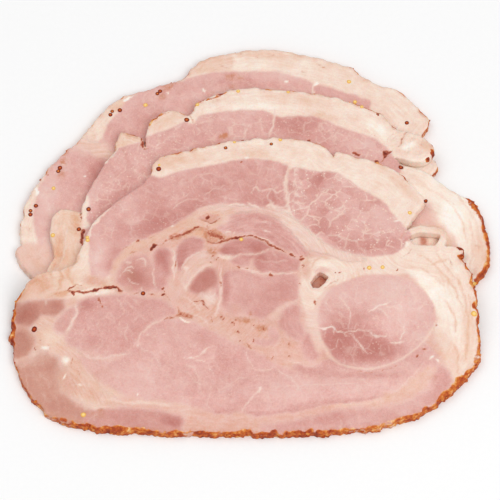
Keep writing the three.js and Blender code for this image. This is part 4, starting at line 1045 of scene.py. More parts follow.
class Nodes:
    """The node tree of one material, and what adds nodes to it."""

    def __init__(self, name: str) -> None:
        """Makes a material that has only its Principled shader and output."""
        self.material = bpy.data.materials.new(name)
        self.material.use_nodes = True
        self.tree = self.material.node_tree
        self.shader = self.tree.nodes["Principled BSDF"]

    def add(
        self, kind: str, *values: object, output: int | str = 0, sockets: dict[str, object] | None = None,
        **settings: object,
    ) -> Wire:
        """Adds a node.

        Args:
            kind: The node's type.
            values: Values or wires for its first sockets, in order.
            output: Which of its outputs to return.
            sockets: Values or wires for sockets by name.
            settings: The node's own settings, set before its sockets. Stops are a ramp's places and colours.

        Returns:
            The chosen output.
        """
        node = self.tree.nodes.new(kind)
        for key, value in settings.items():
            if key == "stops":
                ramp = node.color_ramp
                while len(ramp.elements) < len(value):
                    ramp.elements.new(0.5)
                for element, (place, colour) in zip(ramp.elements, value):
                    element.position = place
                    element.color = linear(colour)
            else:
                setattr(node, key, value)
        pairs = list(zip(node.inputs, values)) + [(node.inputs[key], value) for key, value in (sockets or {}).items()]
        for socket, value in pairs:
            self.join(value, socket)
        return Wire(self, node.outputs[output])

    def join(self, value: object, socket: bpy.types.NodeSocket) -> None:
        """Links a wire to a socket, or sets the socket to a plain value."""
        if isinstance(value, Wire):
            self.tree.links.new(value.socket, socket)
        else:
            socket.default_value = value

    def layer(self, layer: Layer) -> Wire:
        """A painted layer of the piece."""
        return self.attribute(layer.value)

    def attribute(self, name: str, output: str = "Fac") -> Wire:
        """An attribute of the piece."""
        return self.add("ShaderNodeAttribute", output=output, attribute_name=name)

    def place(self) -> Wire:
        """The place in the object's own coordinates."""
        return self.add("ShaderNodeTexCoord", output="Object")

    def scaled(self, vector: Wire, by: tuple[float, float, float], shift: float = 0.0) -> Wire:
        """A vector stretched by axis and moved."""
        return self.add(
            "ShaderNodeMapping", vector, sockets={"Scale": by, "Location": (shift, shift, shift)}
        )

    def cloud(self, vector: Wire, size: float, detail: float = 2.0, rough: float = 0.5) -> Wire:
        """Noise with lumps of a given size, where the vector is in metres and the size in millimetres."""
        return self.add(
            "ShaderNodeTexNoise", vector,
            sockets={"Scale": 1 / (size * MM), "Detail": detail, "Roughness": rough},
        )

    def blend(self, share: object, low: object, high: object, how: str = "MIX") -> Wire:
        """A mix of two colours, which may be everyday colours."""
        sides = [linear(side) if isinstance(side, tuple) else side for side in (low, high)]
        node = self.tree.nodes.new("ShaderNodeMix")
        node.data_type = "RGBA"
        node.blend_type = how
        for socket, value in zip((node.inputs[0], node.inputs[6], node.inputs[7]), (share, *sides)):
            self.join(value, socket)
        return Wire(self, node.outputs[2])

    def dress(self, colour: Wire, roughness: object, bump: Wire, relief: float, **plain: float) -> bpy.types.Material:
        """Joins the finish to the shader.

        Args:
            colour: The base colour.
            roughness: The roughness.
            bump: The height of the fine relief, from 0 to 1.
            relief: The relief's real height in millimetres.
            plain: Shader sockets that are the same all over, with underscores for spaces.

        Returns:
            The finished material.
        """
        normal = self.add("ShaderNodeBump", sockets={"Strength": 1.0, "Distance": relief * MM, "Height": bump})
        self.join(colour, self.shader.inputs["Base Color"])
        self.join(roughness, self.shader.inputs["Roughness"])
        self.join(normal, self.shader.inputs["Normal"])
        for name, value in plain.items():
            self.shader.inputs[name.replace("_", " ")].default_value = value
        return self.material


@dataclass(frozen=True)
class HamFinish:
    """The cut face of cooked ham: pink lean, creamy fat, marbling, fibres, cracks and browned rind."""

    name: str = "cooked_ham"
    lean_stops: tuple[tuple[float, Colour], ...] = (
        (0.0, (238, 205, 195)),
        (0.3, (229, 180, 171)),
        (0.5, (216, 157, 148)),
        (0.75, (201, 134, 125)),
        (1.0, (188, 114, 102)),
    )
    dry_stops: tuple[tuple[float, Colour], ...] = ((0.0, (226, 186, 162)), (0.5, (206, 150, 128)), (1.0, (184, 114, 95)))
    fat_stops: tuple[tuple[float, Colour], ...] = (
        (0.0, (253, 246, 237)),
        (0.25, (250, 232, 217)),
        (0.5, (243, 214, 197)),
        (0.8, (234, 193, 168)),
        (1.0, (228, 175, 144)),
    )
    rind_stops: tuple[tuple[float, Colour], ...] = (
        (0.0, (138, 42, 8)),
        (0.35, (184, 76, 20)),
        (0.6, (210, 114, 38)),
        (0.85, (232, 162, 90)),
        (1.0, (242, 197, 146)),
    )
    # The dark reds of painted shade in cracks, gaps and holes, and of real dark specks.
    shade_and_speck_stops: tuple[tuple[float, Colour], ...] = (
        (0.1, (220, 154, 124)), (0.45, (186, 100, 72)), (0.8, (150, 62, 42)), (1.0, (116, 38, 24))
    )
    stain_and_shade_colour: Colour = (204, 130, 92)

    def marbling(self, nodes: Nodes, swayed: Wire, place: Wire) -> Wire:
        """How strongly the grains and the faint net of fat show at a point."""
        net = nodes.layer(Layer.NET)
        cells = nodes.add(
            "ShaderNodeTexVoronoi", swayed, feature="DISTANCE_TO_EDGE",
            sockets={"Scale": 1 / (5.0 * MM), "Randomness": 1.0},
        )
        stroke = (1 - cells.ramp(0.0, 0.11)) * nodes.cloud(place, 6.0, 3.0).ramp(0.44, 0.62)
        grains = nodes.add("ShaderNodeTexVoronoi", place, sockets={"Scale": 1 / (1.5 * MM), "Randomness": 1.0})
        chosen = nodes.cloud(place, 3.4, 2.0).ramp(0.42, 0.6)
        flecks = (1 - grains.ramp(0.08, 0.36)) * chosen
        return (stroke * 0.56).largest(flecks * 0.9) * net.ramp(-0.1, 0.85)

    def build(self) -> bpy.types.Material:
        """Makes the material."""
        nodes = Nodes(self.name)
        place = nodes.place()
        broad = nodes.cloud(place, 16.0, 3.0) - 0.5
        medium = nodes.cloud(place, 4.5, 3.0, 0.6) - 0.5
        fine = nodes.cloud(place, 1.1, 2.0, 0.6) - 0.5
        speck = nodes.cloud(place, 0.5, 1.0) - 0.5
        sway = nodes.add("ShaderNodeTexNoise", place, output="Color", sockets={"Scale": 200.0, "Detail": 2.0})
        swayed = nodes.add("ShaderNodeVectorMath", sway, (0.0026,) * 3, place, operation="MULTIPLY_ADD")
        bundles = nodes.add(
            "ShaderNodeTexVoronoi", swayed, output="Color", sockets={"Scale": 1 / (5.0 * MM), "Randomness": 1.0}
        )
        fibre = nodes.scaled(nodes.attribute("fibre", "Vector"), (1000.0, 140.0, 1.0))
        threads = nodes.add("ShaderNodeTexNoise", fibre, sockets={"Scale": 0.9, "Detail": 3.0, "Roughness": 0.6}) - 0.5
        streak = nodes.layer(Layer.STREAK)
        lean_part = nodes.layer(Layer.FAT)
        grain = fine * 0.22 + speck * 0.3
        depth = (
            nodes.layer(Layer.DEPTH) + broad * 0.28 + medium * 0.34 + grain + threads * streak * 0.9
            + (bundles - 0.5) * nodes.layer(Layer.NET) * 0.3
        )
        pink = nodes.add("ShaderNodeValToRGB", depth, stops=self.lean_stops)
        dry = nodes.add("ShaderNodeValToRGB", depth, stops=self.dry_stops)
        lean_colour = nodes.blend(nodes.layer(Layer.BROWN), pink, dry)
        warmth = nodes.layer(Layer.WARM) + broad * 0.35 + medium * 0.5 + grain + threads * streak * 0.9
        fat_colour = nodes.add("ShaderNodeValToRGB", warmth, stops=self.fat_stops)
        mottle = medium * 0.9 + fine * 0.7 + threads * streak * 1.2
        edge = lean_part * (1 - lean_part) * 4
        fat_share = (lean_part + mottle * edge * 0.75).largest(self.marbling(nodes, swayed, place))
        colour = nodes.blend(fat_share, lean_colour, fat_colour)
        # spice stains, and painted shade where a few marks use this layer
        stain = nodes.layer(Layer.STAIN) * (0.85 + medium * 2.0 + fine * 1.2)
        colour = nodes.blend(stain.ramp(0.0, 0.95), colour, self.stain_and_shade_colour)
        # painted shade in cracks, gaps and holes, and real dark specks
        pit = nodes.layer(Layer.PIT) * (1 + fine * 1.8 + medium * 1.2)
        shade_and_speck_colour = nodes.add("ShaderNodeValToRGB", pit, stops=self.shade_and_speck_stops)
        colour = nodes.blend(pit.ramp(0.04, 0.5), colour, shade_and_speck_colour)
        rind = nodes.layer(Layer.RIND)
        crumb = nodes.cloud(place, 2.4, 4.0, 0.65)
        roast = nodes.add(
            "ShaderNodeValToRGB", 0.34 + (crumb - 0.5) * 2.2 + broad * 1.0 + (1 - rind) * 0.6, stops=self.rind_stops
        )
        browned = (rind + (crumb - 0.5) * 1.1).ramp(0.35, 0.62) * rind.ramp(0.02, 0.2)
        colour = nodes.blend(browned, colour, roast)
        height = 0.5 + fine * 0.5 + medium * 0.35 + threads * streak * 0.8 + (crumb - 0.5) * browned * 2
        roughness = 0.43 + fat_share * 0.06 + browned * 0.15 + fine * 0.2
        return nodes.dress(
            colour, roughness, height, 0.22, Specular_IOR_Level=0.35, Subsurface_Weight=0.12, Subsurface_Scale=0.003
        )


@dataclass(frozen=True)
class SeedFinish:
    """The cut face of a spice seed: a dark skin round a lighter middle."""

    name: str
    skin: Colour
    middle: Colour
    pale: Colour

    def build(self) -> bpy.types.Material:
        """Makes the material."""
        nodes = Nodes(self.name)
        place = nodes.place()
        grain = nodes.cloud(place, 0.35, 3.0, 0.7)
        out = nodes.attribute("outward")
        tone = nodes.attribute("tone")
        heart = nodes.blend(tone, self.middle, self.pale)
        colour = nodes.blend((out + (grain - 0.5) * 0.4).ramp(0.36, 0.66), heart, self.skin)
        colour = nodes.blend((grain.ramp(0.55, 0.75)) * 0.5, colour, self.pale)
        return nodes.dress(colour, 0.45 + grain * 0.2, grain, 0.08, Specular_IOR_Level=0.2)


@dataclass(frozen=True)
class CrumbFinish:
    """The baked crumbs that stand on the rind."""

    name: str = "baked_crumb"
    stops: tuple[tuple[float, Colour], ...] = HamFinish.rind_stops

    def build(self) -> bpy.types.Material:
        """Makes the material."""
        nodes = Nodes(self.name)
        place = nodes.place()
        grain = nodes.cloud(place, 1.4, 4.0, 0.7)
        fine = nodes.cloud(place, 0.3, 3.0, 0.7)
        tone = grain + (nodes.attribute("tone") - 0.5) * 0.7
        colour = nodes.add("ShaderNodeValToRGB", tone, stops=self.stops)
        return nodes.dress(colour, 0.5 + fine * 0.25, fine, 0.1, Specular_IOR_Level=0.35)


# The slices


@dataclass
class Rind:
    """Where an outline is browned: everything on the right-hand side of a line, seen from above.

    Args:
        start: A point that the line goes through.
        end: A further point of it.
        strength: How browned the rind is there.
        crumble: How far the crumbs make the outline wander.
        width: How far it reaches onto the face.
        patchy: How much the browning varies.
    """

    start: Point
    end: Point
    strength: float = 1.0
    crumble: float = 0.55
    width: float = 1.1
    patchy: float = 0.4

    def covers(self, at: np.ndarray) -> np.ndarray:
        """Whether each point is on the browned side, from 0 to 1 over a few millimetres."""
        along = np.array(self.end, float) - np.array(self.start, float)
        along /= np.hypot(*along)
        side = (at[:, 0] - self.start[0]) * along[1] - (at[:, 1] - self.start[1]) * along[0]
        return smoothstep(side / 3.0)


@dataclass
class HamSlice:
    """One draped slice of ham.

    Args:
        node: The solid that it stands for.
        cell: The spacing of the vertices of its face.
        marks: What shows on its face.
        lower: The slices it rests on.
        rinds: Its browned stretches.
        seed: Where its noise is taken from.
        knobs: The places of lumps of crust on its rim, and how far each stands out.
    """

    node: str
    cell: float
    marks: tuple[Mark, ...]
    lower: list[HamSlice]
    rinds: tuple[Rind, ...]
    seed: float
    knobs: tuple[tuple[float, float, float], ...] = ()
    plan: Contour | None = None
    rim: Contour | None = None
    outline: Contour | None = None

    def read_plan(self, source: bpy.types.Object) -> None:
        """Takes the slice's plan from the upper face of its solid."""
        bm = bmesh.new()
        bm.from_mesh(source.data)
        bmesh.ops.remove_doubles(bm, verts=bm.verts, dist=2e-5)
        hidden = [face for face in bm.faces if face.normal.z <= 0.5]
        bmesh.ops.delete(bm, geom=hidden, context="FACES")
        unused = {edge for edge in bm.edges if edge.is_boundary}
        loops = []
        while unused:
            edge = unused.pop()
            first, vert = edge.verts
            loop = [first, vert]
            while vert is not first:
                edge = next(e for e in vert.link_edges if e in unused)
                unused.discard(edge)
                vert = edge.other_vert(vert)
                loop.append(vert)
            points = np.array([v.co[:2] for v in loop[:-1]]) / MM
            if len(points) > 4:
                loops.append(points)
        bm.free()
        loops.sort(key=len, reverse=True)
        self.plan = Contour(loops)
        self.rim = Contour(loops[:1])
        self.outline = Contour([self._crumbled(close_points(loop)) for loop in loops])

    def _near_rim(self, at: np.ndarray, shares: list[np.ndarray]) -> np.ndarray:
        """The largest of the rinds' shares at points near the rim, and 0 elsewhere."""
        return np.max([rind.covers(at) * share for rind, share in zip(self.rinds, shares)], axis=0) * (
            np.abs(self.rim.gap(at)) < 4.0
        )

    def browning(self, at: np.ndarray) -> np.ndarray:
        """How browned the face is at each point, in patches where the rind is weak."""
        patches = field_of(at, 5.0, self.seed + 11)
        return self._near_rim(at, [np.clip(rind.strength + rind.patchy * patches, 0, 1) for rind in self.rinds])

    def wall_browning(self, places: np.ndarray) -> np.ndarray:
        """How browned the outer side is at each point, with lumps that don't run from top to bottom."""
        lumps = 0.4 * np.array([noise.noise((x / 2.2, y / 2.2, z / 1.1)) for x, y, z in places])
        shares = [max(rind.strength, WALL_BROWN * min(1, 3 * rind.strength)) + lumps for rind in self.rinds]
        return self._near_rim(places[:, :2], shares)

    def _crust_width(self, at: np.ndarray) -> np.ndarray:
        """How far the browning reaches in from the outline near each point."""
        width = np.max([0.5 + (rind.width - 0.5) * rind.covers(at) for rind in self.rinds], axis=0)
        return np.maximum(0.4, width * (1 + 1.4 * field_of(at, 3.0, self.seed + 2)))

    def _crumbled(self, points: np.ndarray) -> np.ndarray:
        """A loop of close points with a slightly ragged run."""
        along = np.roll(points, -2, axis=0) - np.roll(points, 2, axis=0)
        along /= np.hypot(*along.T)[:, None] + 1e-9
        across = np.stack([along[:, 1], -along[:, 0]], axis=1)
        wander = 0.5 * field_of(points, 1.4, self.seed) + field_of(points, 4.0, self.seed + 3)
        reach = np.max([rind.covers(points) * rind.crumble for rind in self.rinds], axis=0)
        reach = 0.45 + reach * (self.rim.gap(points) < 1.0)
        push = wander * reach
        for x, y, height in self.knobs:
            push += height * np.exp(-(((points - (x, y)) ** 2).sum(axis=1)) / 2.6)
        return points + across * push[:, None]

    def rest(self, at: np.ndarray) -> np.ndarray:
        """The height of the slice's underside at each point."""
        heights = np.zeros(len(at))
        for other in self.lower:
            gap = np.maximum(0.0, -other.plan.gap(at))
            lift = other.rest(at) + SLICE_THICKNESS + REST_GAP
            heights = np.maximum(heights, lift * (1 - smoothstep((gap - SHOULDER) / DROOP)))
        return heights

    def face(self, at: np.ndarray, gap: np.ndarray) -> np.ndarray:
        """The height of the slice's gently uneven face at points whose distances from the outline are known."""
        lumps = 0.1 * (0.6 - field_of(at, 9.0, self.seed)) + 0.06 * (0.6 - field_of(at, 2.4, self.seed + 5))
        return self.rest(at) + SLICE_THICKNESS - lumps - RIM_DROP * np.clip(1 - np.abs(gap) / RIM_ROUND, 0, 1) ** 2

    def _patch(self, bm: bmesh.types.BMesh, cell: float, margin: float) -> list[bmesh.types.BMVert]:
        """Adds a flat grid cut to the slice's outline.

        Args:
            bm: The mesh to add to.
            cell: The grid's cell.
            margin: How far inside the outline the grid stays. Its rim is moved onto the outline if this is 0.

        Returns:
            The new vertices.
        """
        low, high = self.outline.loops[0].min(0) - cell, self.outline.loops[0].max(0) + cell
        counts = np.ceil((high - low) / cell).astype(int)
        size, middle = counts * cell / 2, (low + high) / 2
        grown = bmesh.ops.create_grid(
            bm, x_segments=int(counts[0]), y_segments=int(counts[1]), size=1.0,
            matrix=Matrix.Translation((*middle, 0)) @ Matrix.Diagonal((*size, 1, 1)),
        )
        new = set(grown["verts"])
        faces = [face for face in bm.faces if face.verts[0] in new]
        keep = self.outline.gap(np.array([face.calc_center_median()[:2] for face in faces])) > margin
        bmesh.ops.delete(bm, geom=[face for face, kept in zip(faces, keep) if not kept], context="FACES")
        verts = self._trimmed(bm, [vert for vert in grown["verts"] if vert.is_valid])
        if not margin:
            self._fit_rim(bm, [vert for vert in verts if vert.is_boundary])
        return verts

    @staticmethod
    def _trimmed(bm: bmesh.types.BMesh, verts: list[bmesh.types.BMVert]) -> list[bmesh.types.BMVert]:
        """Takes off the faces that hang on by a corner or by one edge, and returns the vertices left."""
        while True:
            spurs = set()
            for vert in verts:
                if sum(edge.is_boundary for edge in vert.link_edges) > 2:
                    spurs.add(vert.link_faces[0])
                elif len(vert.link_faces) == 1 and sum(e.is_boundary for e in vert.link_faces[0].edges) > 2:
                    spurs.add(vert.link_faces[0])
            if not spurs:
                return verts
            bmesh.ops.delete(bm, geom=list(spurs), context="FACES")
            verts = [vert for vert in verts if vert.is_valid]

    def _fit_rim(self, bm: bmesh.types.BMesh, rim: list[bmesh.types.BMVert]) -> None:
        """Moves a grid's rim onto the outline and evens out the cells behind it."""
        places = np.array([vert.co[:2] for vert in rim])
        found = [nearest_on(loop, places, closed=True) for loop in self.outline.loops]
        choice = np.argmin([gap for gap, _, _ in found], axis=0)
        for row, (vert, pick) in enumerate(zip(rim, choice)):
            vert.co.xy = found[pick][2][row]
        behind = set(rim)
        for _ in range(2):
            behind |= {end for vert in behind for edge in vert.link_edges for end in edge.verts}
        for _ in range(3):
            bmesh.ops.smooth_vert(bm, verts=list(behind - set(rim)), factor=0.5, use_axis_x=True, use_axis_y=True)

    def _wall(self, bm: bmesh.types.BMesh, on_face: bmesh.types.BMLayerItem) -> list[bmesh.types.BMEdge]:
        """Extrudes the rim down to the underside, crumbly where it is browned, and returns the foot's edges."""
        row = [edge for edge in bm.edges if edge.is_boundary]
        for step in range(1, WALL_ROWS + 1):
            grown = bmesh.ops.extrude_edge_only(bm, edges=row)["geom"]
            verts = [item for item in grown if isinstance(item, bmesh.types.BMVert)]
            row = [item for item in grown if isinstance(item, bmesh.types.BMEdge) and item.is_boundary]
            at = np.array([vert.co[:2] for vert in verts])
            share = step / WALL_ROWS
            lumps = np.array([noise.noise((x / 1.3, y / 1.3, self.seed + 0.8 * step)) for x, y in at])
            push = 0.12 * math.sin(math.pi * min(share, 0.9)) + lumps * (0.08 + 0.2 * self.browning(at))
            moved = at + self.plan.outward(at) * push[:, None]
            for vert, (x, y), foot in zip(verts, moved, self.rest(moved)):
                vert.co = (x, y, foot + (SLICE_THICKNESS - RIM_DROP) * (1 - share))
                vert[on_face] = 0
        return row

    def build(self, finish: bpy.types.Material) -> bpy.types.Object:
        """Makes the slice's mesh, paints it and dresses it.

        Args:
            finish: The material of its meat.

        Returns:
            The finished piece.
        """
        bm = bmesh.new()
        on_face = bm.verts.layers.int.new("on_face")
        for vert in self._patch(bm, self.cell, 0.0):
            vert[on_face] = 1
        foot = self._wall(bm, on_face)
        under = self._patch(bm, BASE_CELL, 1.2 * BASE_CELL)
        for vert, height in zip(under, self.rest(np.array([vert.co[:2] for vert in under]))):
            vert.co.z = height
        gap = {edge for vert in under if vert.is_boundary for edge in vert.link_edges if edge.is_boundary}
        bmesh.ops.triangle_fill(bm, use_beauty=True, edges=[*foot, *gap], normal=(0, 0, -1))
        bmesh.ops.recalc_face_normals(bm, faces=bm.faces)
        piece = finished_piece(bm, self.node + "_meat", finish)
        self._paint(piece.data)
        return piece

    def _paint(self, mesh: bpy.types.Mesh) -> None:
        """Lays the marks on a mesh in millimetres, gives its face their relief, and turns it into metres."""
        places = np.zeros(len(mesh.vertices) * 3, np.float32)
        mesh.vertices.foreach_get("co", places)
        places = places.reshape(-1, 3).astype(float)
        at = places[:, :2]
        gap = self.outline.gap(at)
        canvas = Canvas(at, gap, self.seed)
        for mark in self.marks:
            canvas.lay(mark)
        top = np.zeros(len(at), np.int32)
        mesh.attributes["on_face"].data.foreach_get("value", top)
        mesh.attributes.remove(mesh.attributes["on_face"])
        top = top.astype(bool)
        places[top, 2] = self.face(at[top], gap[top]) - canvas.layers.pop(Layer.SINK)[top]
        side = np.ones(len(at))
        side[top] = 1 - smoothstep((gap[top] - 0.15) / self._crust_width(at[top]))
        side[~top] *= gap[~top] < 1.2
        brown = np.where(top, self.browning(at), self.wall_browning(places))
        rind, stain, pit = (canvas.layers[layer] for layer in (Layer.RIND, Layer.STAIN, Layer.PIT))
        np.maximum(rind, side * brown + np.minimum(rind, 0), out=rind)
        # the sides of the vein's hole get painted shade
        pit[~top & (np.abs(gap) < 1.2) & (self.rim.gap(at) > VEIN_DEPTH)] = HOLE_SHADE
        np.maximum(stain, 0.5 * brown * (1 - smoothstep(np.abs(gap) / 3.2)), out=stain)
        for layer, values in canvas.layers.items():
            attribute = mesh.attributes.new(layer.value, "FLOAT", "POINT")
            attribute.data.foreach_set("value", values.astype(np.float32))
        fibre = np.column_stack([canvas.fibre, places[:, 2]]) * MM
        attribute = mesh.attributes.new("fibre", "FLOAT_VECTOR", "POINT")
        attribute.data.foreach_set("vector", fibre.astype(np.float32).ravel())
        mesh.vertices.foreach_set("co", (places * MM).astype(np.float32).ravel())
        mesh.update()


# Seeds and crumbs


@dataclass(frozen=True)
class Seed:
    """One seed, cut through by the knife or pressed into the face."""

    x: float
    y: float
    radius: float = 0.95
    tone: float = 0.2


@dataclass
class Seeds:
    """The seeds of one kind on all the slices, made as one piece.

    Args:
        name: The piece's name.
        slot: A material slot's name, which is not used.
        places: The seeds on each slice.
        dome: The height of a seed's middle over its rim, as a share of its radius.
    """

    name: str
    slot: str
    places: dict[str, tuple[Seed, ...]]
    dome: float
    rings: int = 4
    sides: int = 14

    def build(self, slices: dict[str, HamSlice], finish: bpy.types.Material) -> bpy.types.Object:
        """Makes all the seeds.

        Args:
            slices: The slices by their node names.
            finish: The seeds' material.

        Returns:
            The finished piece.
        """
        bm = bmesh.new()
        tone = bm.verts.layers.float.new("tone")
        out = bm.verts.layers.float.new("outward")
        for node, seeds in self.places.items():
            raised = []
            for number, seed in enumerate(seeds):
                made = bmesh.ops.create_circle(bm, cap_ends=True, segments=self.sides, radius=1.0)
                face = made["verts"][0].link_faces[0]
                rim = list(made["verts"])
                for ring in range(1, self.rings):
                    bmesh.ops.inset_region(bm, faces=[face], thickness=0.85 / self.rings, use_boundary=True)
                verts = self._island(rim[0])
                skirt = bmesh.ops.extrude_edge_only(bm, edges=[e for e in bm.edges if e.is_boundary and e.verts[0] in verts])
                feet = [item for item in skirt["geom"] if isinstance(item, bmesh.types.BMVert)]
                sole = [item for item in skirt["geom"] if isinstance(item, bmesh.types.BMEdge) and item.is_boundary]
                bmesh.ops.edgeloop_fill(bm, edges=sole)
                for vert in verts:
                    reach = min(1.0, vert.co.xy.length)
                    vert[out] = reach
                    vert[tone] = seed.tone
                    wobble = 1 + 0.1 * noise.noise((vert.co.x * 1.3, vert.co.y * 1.3, number * 3.7))
                    x, y = vert.co.xy * seed.radius * wobble
                    lift = self.dome * seed.radius * (1 - reach**2)
                    vert.co = (seed.x + x, seed.y + y, lift + SEED_RISE)
                for vert in feet:
                    x, y = vert.co.xy * seed.radius
                    vert[out] = 1.0
                    vert[tone] = seed.tone
                    vert.co = (seed.x + x * 0.9, seed.y + y * 0.9, -0.6)
                raised += [*verts, *feet]
            at = np.array([vert.co[:2] for vert in raised])
            for vert, height in zip(raised, slices[node].face(at, slices[node].outline.gap(at))):
                vert.co.z += height
        bmesh.ops.recalc_face_normals(bm, faces=bm.faces)
        bmesh.ops.scale(bm, verts=bm.verts, vec=(MM, MM, MM))
        return finished_piece(bm, self.name, finish)

    @staticmethod
    def _island(start: bmesh.types.BMVert) -> set[bmesh.types.BMVert]:
        """All the vertices joined to one."""
        found = {start}
        queue = [start]
        while queue:
            for edge in queue.pop().link_edges:
                for vert in edge.verts:
                    if vert not in found:
                        found.add(vert)
                        queue.append(vert)
        return found


@dataclass
class Crumbs:
    """The baked crumbs along the browned rims, made as one piece.

    Args:
        name: The piece's name.
        slot: A material slot's name, which is not used.
        spacing: The mean distance between crumbs along a rind.
        size: The smallest and largest radius of a crumb.
    """

    name: str
    slot: str
    spacing: float = 3.0
    size: Point = (0.3, 0.8)

    def build(self, slices: dict[str, HamSlice], finish: bpy.types.Material) -> bpy.types.Object:
        """Makes all the crumbs.

        Args:
            slices: The slices by their node names.
            finish: The crumbs' material.

        Returns:
            The finished piece.
        """
        draw = random.Random(11)
        bm = bmesh.new()
        tone = bm.verts.layers.float.new("tone")
        for part in slices.values():
            loop = part.outline.loops[0]
            brown = part.browning(loop)
            chosen = [index for index in range(len(loop)) if draw.random() < OUTLINE_STEP / self.spacing * brown[index]]
            for place, foot in zip(loop[chosen], part.rest(loop[chosen])):
                self._crumb(bm, tone, draw, Vector((*place, foot + SLICE_THICKNESS)))
        bmesh.ops.scale(bm, verts=bm.verts, vec=(MM, MM, MM))
        return finished_piece(bm, self.name, finish)

    def _crumb(
        self, bm: bmesh.types.BMesh, tone: bmesh.types.BMLayerItem, draw: random.Random, rim: Vector
    ) -> None:
        """Adds one crumb below a point of a slice's rim."""
        radius = self.size[0] + (self.size[1] - self.size[0]) * draw.random() ** 2
        verts = bmesh.ops.create_uvsphere(bm, u_segments=8, v_segments=5, radius=1.0)["verts"]
        stretch = Vector((draw.uniform(0.8, 1.5), draw.uniform(0.8, 1.5), draw.uniform(0.6, 1.0)))
        turn = Matrix.Rotation(draw.uniform(0, math.tau), 3, "Z")
        middle = rim - Vector((0, 0, draw.uniform(radius * 0.9, SLICE_THICKNESS - radius)))
        shade = draw.random()
        for vert in verts:
            lump = 1 + 0.35 * noise.noise(vert.co * 1.6 + rim)
            vert.co = turn @ (vert.co * stretch) * radius * lump + middle
            vert[tone] = shade


def finished_piece(bm: bmesh.types.BMesh, name: str, finish: bpy.types.Material) -> bpy.types.Object:
    """Turns a mesh under construction into a smooth-shaded object with its material."""
    for face in bm.faces:
        face.smooth = True
    mesh = bpy.data.meshes.new(name)
    bm.to_mesh(mesh)
    bm.free()
    mesh.materials.append(finish)
    piece = bpy.data.objects.new(name, mesh)
    bpy.context.scene.collection.objects.link(piece)
    return piece


BROWN_SEEDS: dict[str, tuple[Seed, ...]] = {
    "slice_front": (Seed(-41, 28.2, 1.15, 0.0), Seed(-11.5, 39, 0.8, 0.9), Seed(8.8, 41, 0.75, 0.9), Seed(76.5, 12.2, 0.85),
                    Seed(-93.5, -48.4, 1.2, 0.0), Seed(-46.8, -33.5, 1.0)),
    "slice_middle": (Seed(-71.7, 10.3, 1.05, 0.4), Seed(-75.7, 0.3, 1.0), Seed(-29, 56, 1.15, 0.4), Seed(66.2, 31.5, 0.95)),
    "slice_back": (Seed(-85.3, 33.7, 1.05), Seed(-86, 32, 0.95, 0.9), Seed(-95.3, 14.4, 1.0), Seed(-97.6, 10, 1.0),
                   Seed(-97.6, 11.9, 0.85, 0.8), Seed(-59.3, 63.6, 1.05), Seed(-63.5, 61.2, 0.95), Seed(-62.7, 63, 0.8, 0.8),
                   Seed(-41.3, 73.6, 0.95), Seed(-42.5, 72.3, 0.9, 0.6), Seed(69.8, 57, 0.95)),
}
YELLOW_SEEDS: dict[str, tuple[Seed, ...]] = {
    "slice_front": (Seed(-40.8, 30.2, 0.6), Seed(-7.6, 42, 0.7), Seed(12.8, 43.2, 0.85), Seed(69.3, 6.2, 0.9),
                    Seed(51, -21, 1.0), Seed(56.8, -20.7, 0.9), Seed(-4.5, -7, 0.9), Seed(96, -41, 1.3),
                    Seed(-71.5, -87, 1.15), Seed(-71.6, -6, 0.8), Seed(-71.4, -7.4, 0.95)),
    "slice_middle": (Seed(-87, -2.7, 1.0), Seed(-6, 71, 0.85), Seed(-24.3, 64, 0.85), Seed(16.5, 70.6, 0.75),
                     Seed(46.5, 65.4, 0.85), Seed(49.5, 62.8, 0.8), Seed(97, -24.2, 0.95)),
    "slice_back": (Seed(-87.8, 23.3, 0.9), Seed(-47.8, 66.3, 1.0), Seed(44.2, 78.6, 1.0)),
}


# The studio


@dataclass
class Studio:
    """The floor, the lights and the camera.

    Args:
        aim: The point that the camera looks at.
        elevation: The camera's angle above the floor, in degrees.
        distance: Its distance from that point, in metres.
        lens: Its focal length, in millimetres.
    """

    aim: tuple[float, float, float] = (-0.678 * MM, -5.623 * MM, 0.0)
    elevation: float = 62.0
    distance: float = 1.222
    lens: float = 200.0

    def camera(self) -> None:
        """Adds the camera and makes it the scene's own."""
        data = bpy.data.cameras.new("camera")
        data.lens = self.lens
        data.clip_start = 0.01
        camera = bpy.data.objects.new("camera", data)
        bpy.context.scene.collection.objects.link(camera)
        rise = math.radians(self.elevation)
        away = Vector((0, -math.cos(rise), math.sin(rise)))
        camera.location = Vector(self.aim) + away * self.distance
        camera.rotation_euler = (math.pi / 2 - rise, 0, 0)
        bpy.context.scene.camera = camera

    def light(self, name: str, place: tuple[float, float, float], size: float, watts: float) -> None:
        """Adds a square soft light that faces the ham."""
        data = bpy.data.lights.new(name, "AREA")
        data.size = size
        data.energy = watts
        lamp = bpy.data.objects.new(name, data)
        bpy.context.scene.collection.objects.link(lamp)
        lamp.location = place
        lamp.rotation_euler = (-Vector(place)).to_track_quat("-Z", "Y").to_euler()

    def floor(self) -> bpy.types.Object:
        """Adds a pale matt floor with a very faint tooth."""
        bm = bmesh.new()
        bmesh.ops.create_grid(bm, x_segments=8, y_segments=8, size=1.6)
        nodes = Nodes("pale_floor")
        tooth = nodes.cloud(nodes.place(), 2.0, 2.0)
        colour = nodes.blend(tooth, (250, 250, 250), (253, 253, 253))
        finish = nodes.dress(colour, 0.9, tooth, 0.01, Specular_IOR_Level=0.1)
        floor = finished_piece(bm, "floor", finish)
        return floor

    def build(self) -> None:
        """Sets up the floor, the lights, the surroundings and the camera."""
        self.floor()
        self.camera()
        self.light("key", (0.7, -0.8, 1.5), 1.2, 13.5)
        self.light("fill", (-0.9, 0.5, 1.6), 1.4, 7.0)
        world = bpy.data.worlds.new("studio")
        world.use_nodes = True
        background = world.node_tree.nodes["Background"]
        background.inputs["Color"].default_value = (1.0, 1.0, 1.0, 1.0)
        background.inputs["Strength"].default_value = 0.58
        bpy.context.scene.world = world
        bpy.context.scene.view_settings.view_transform = "Standard"


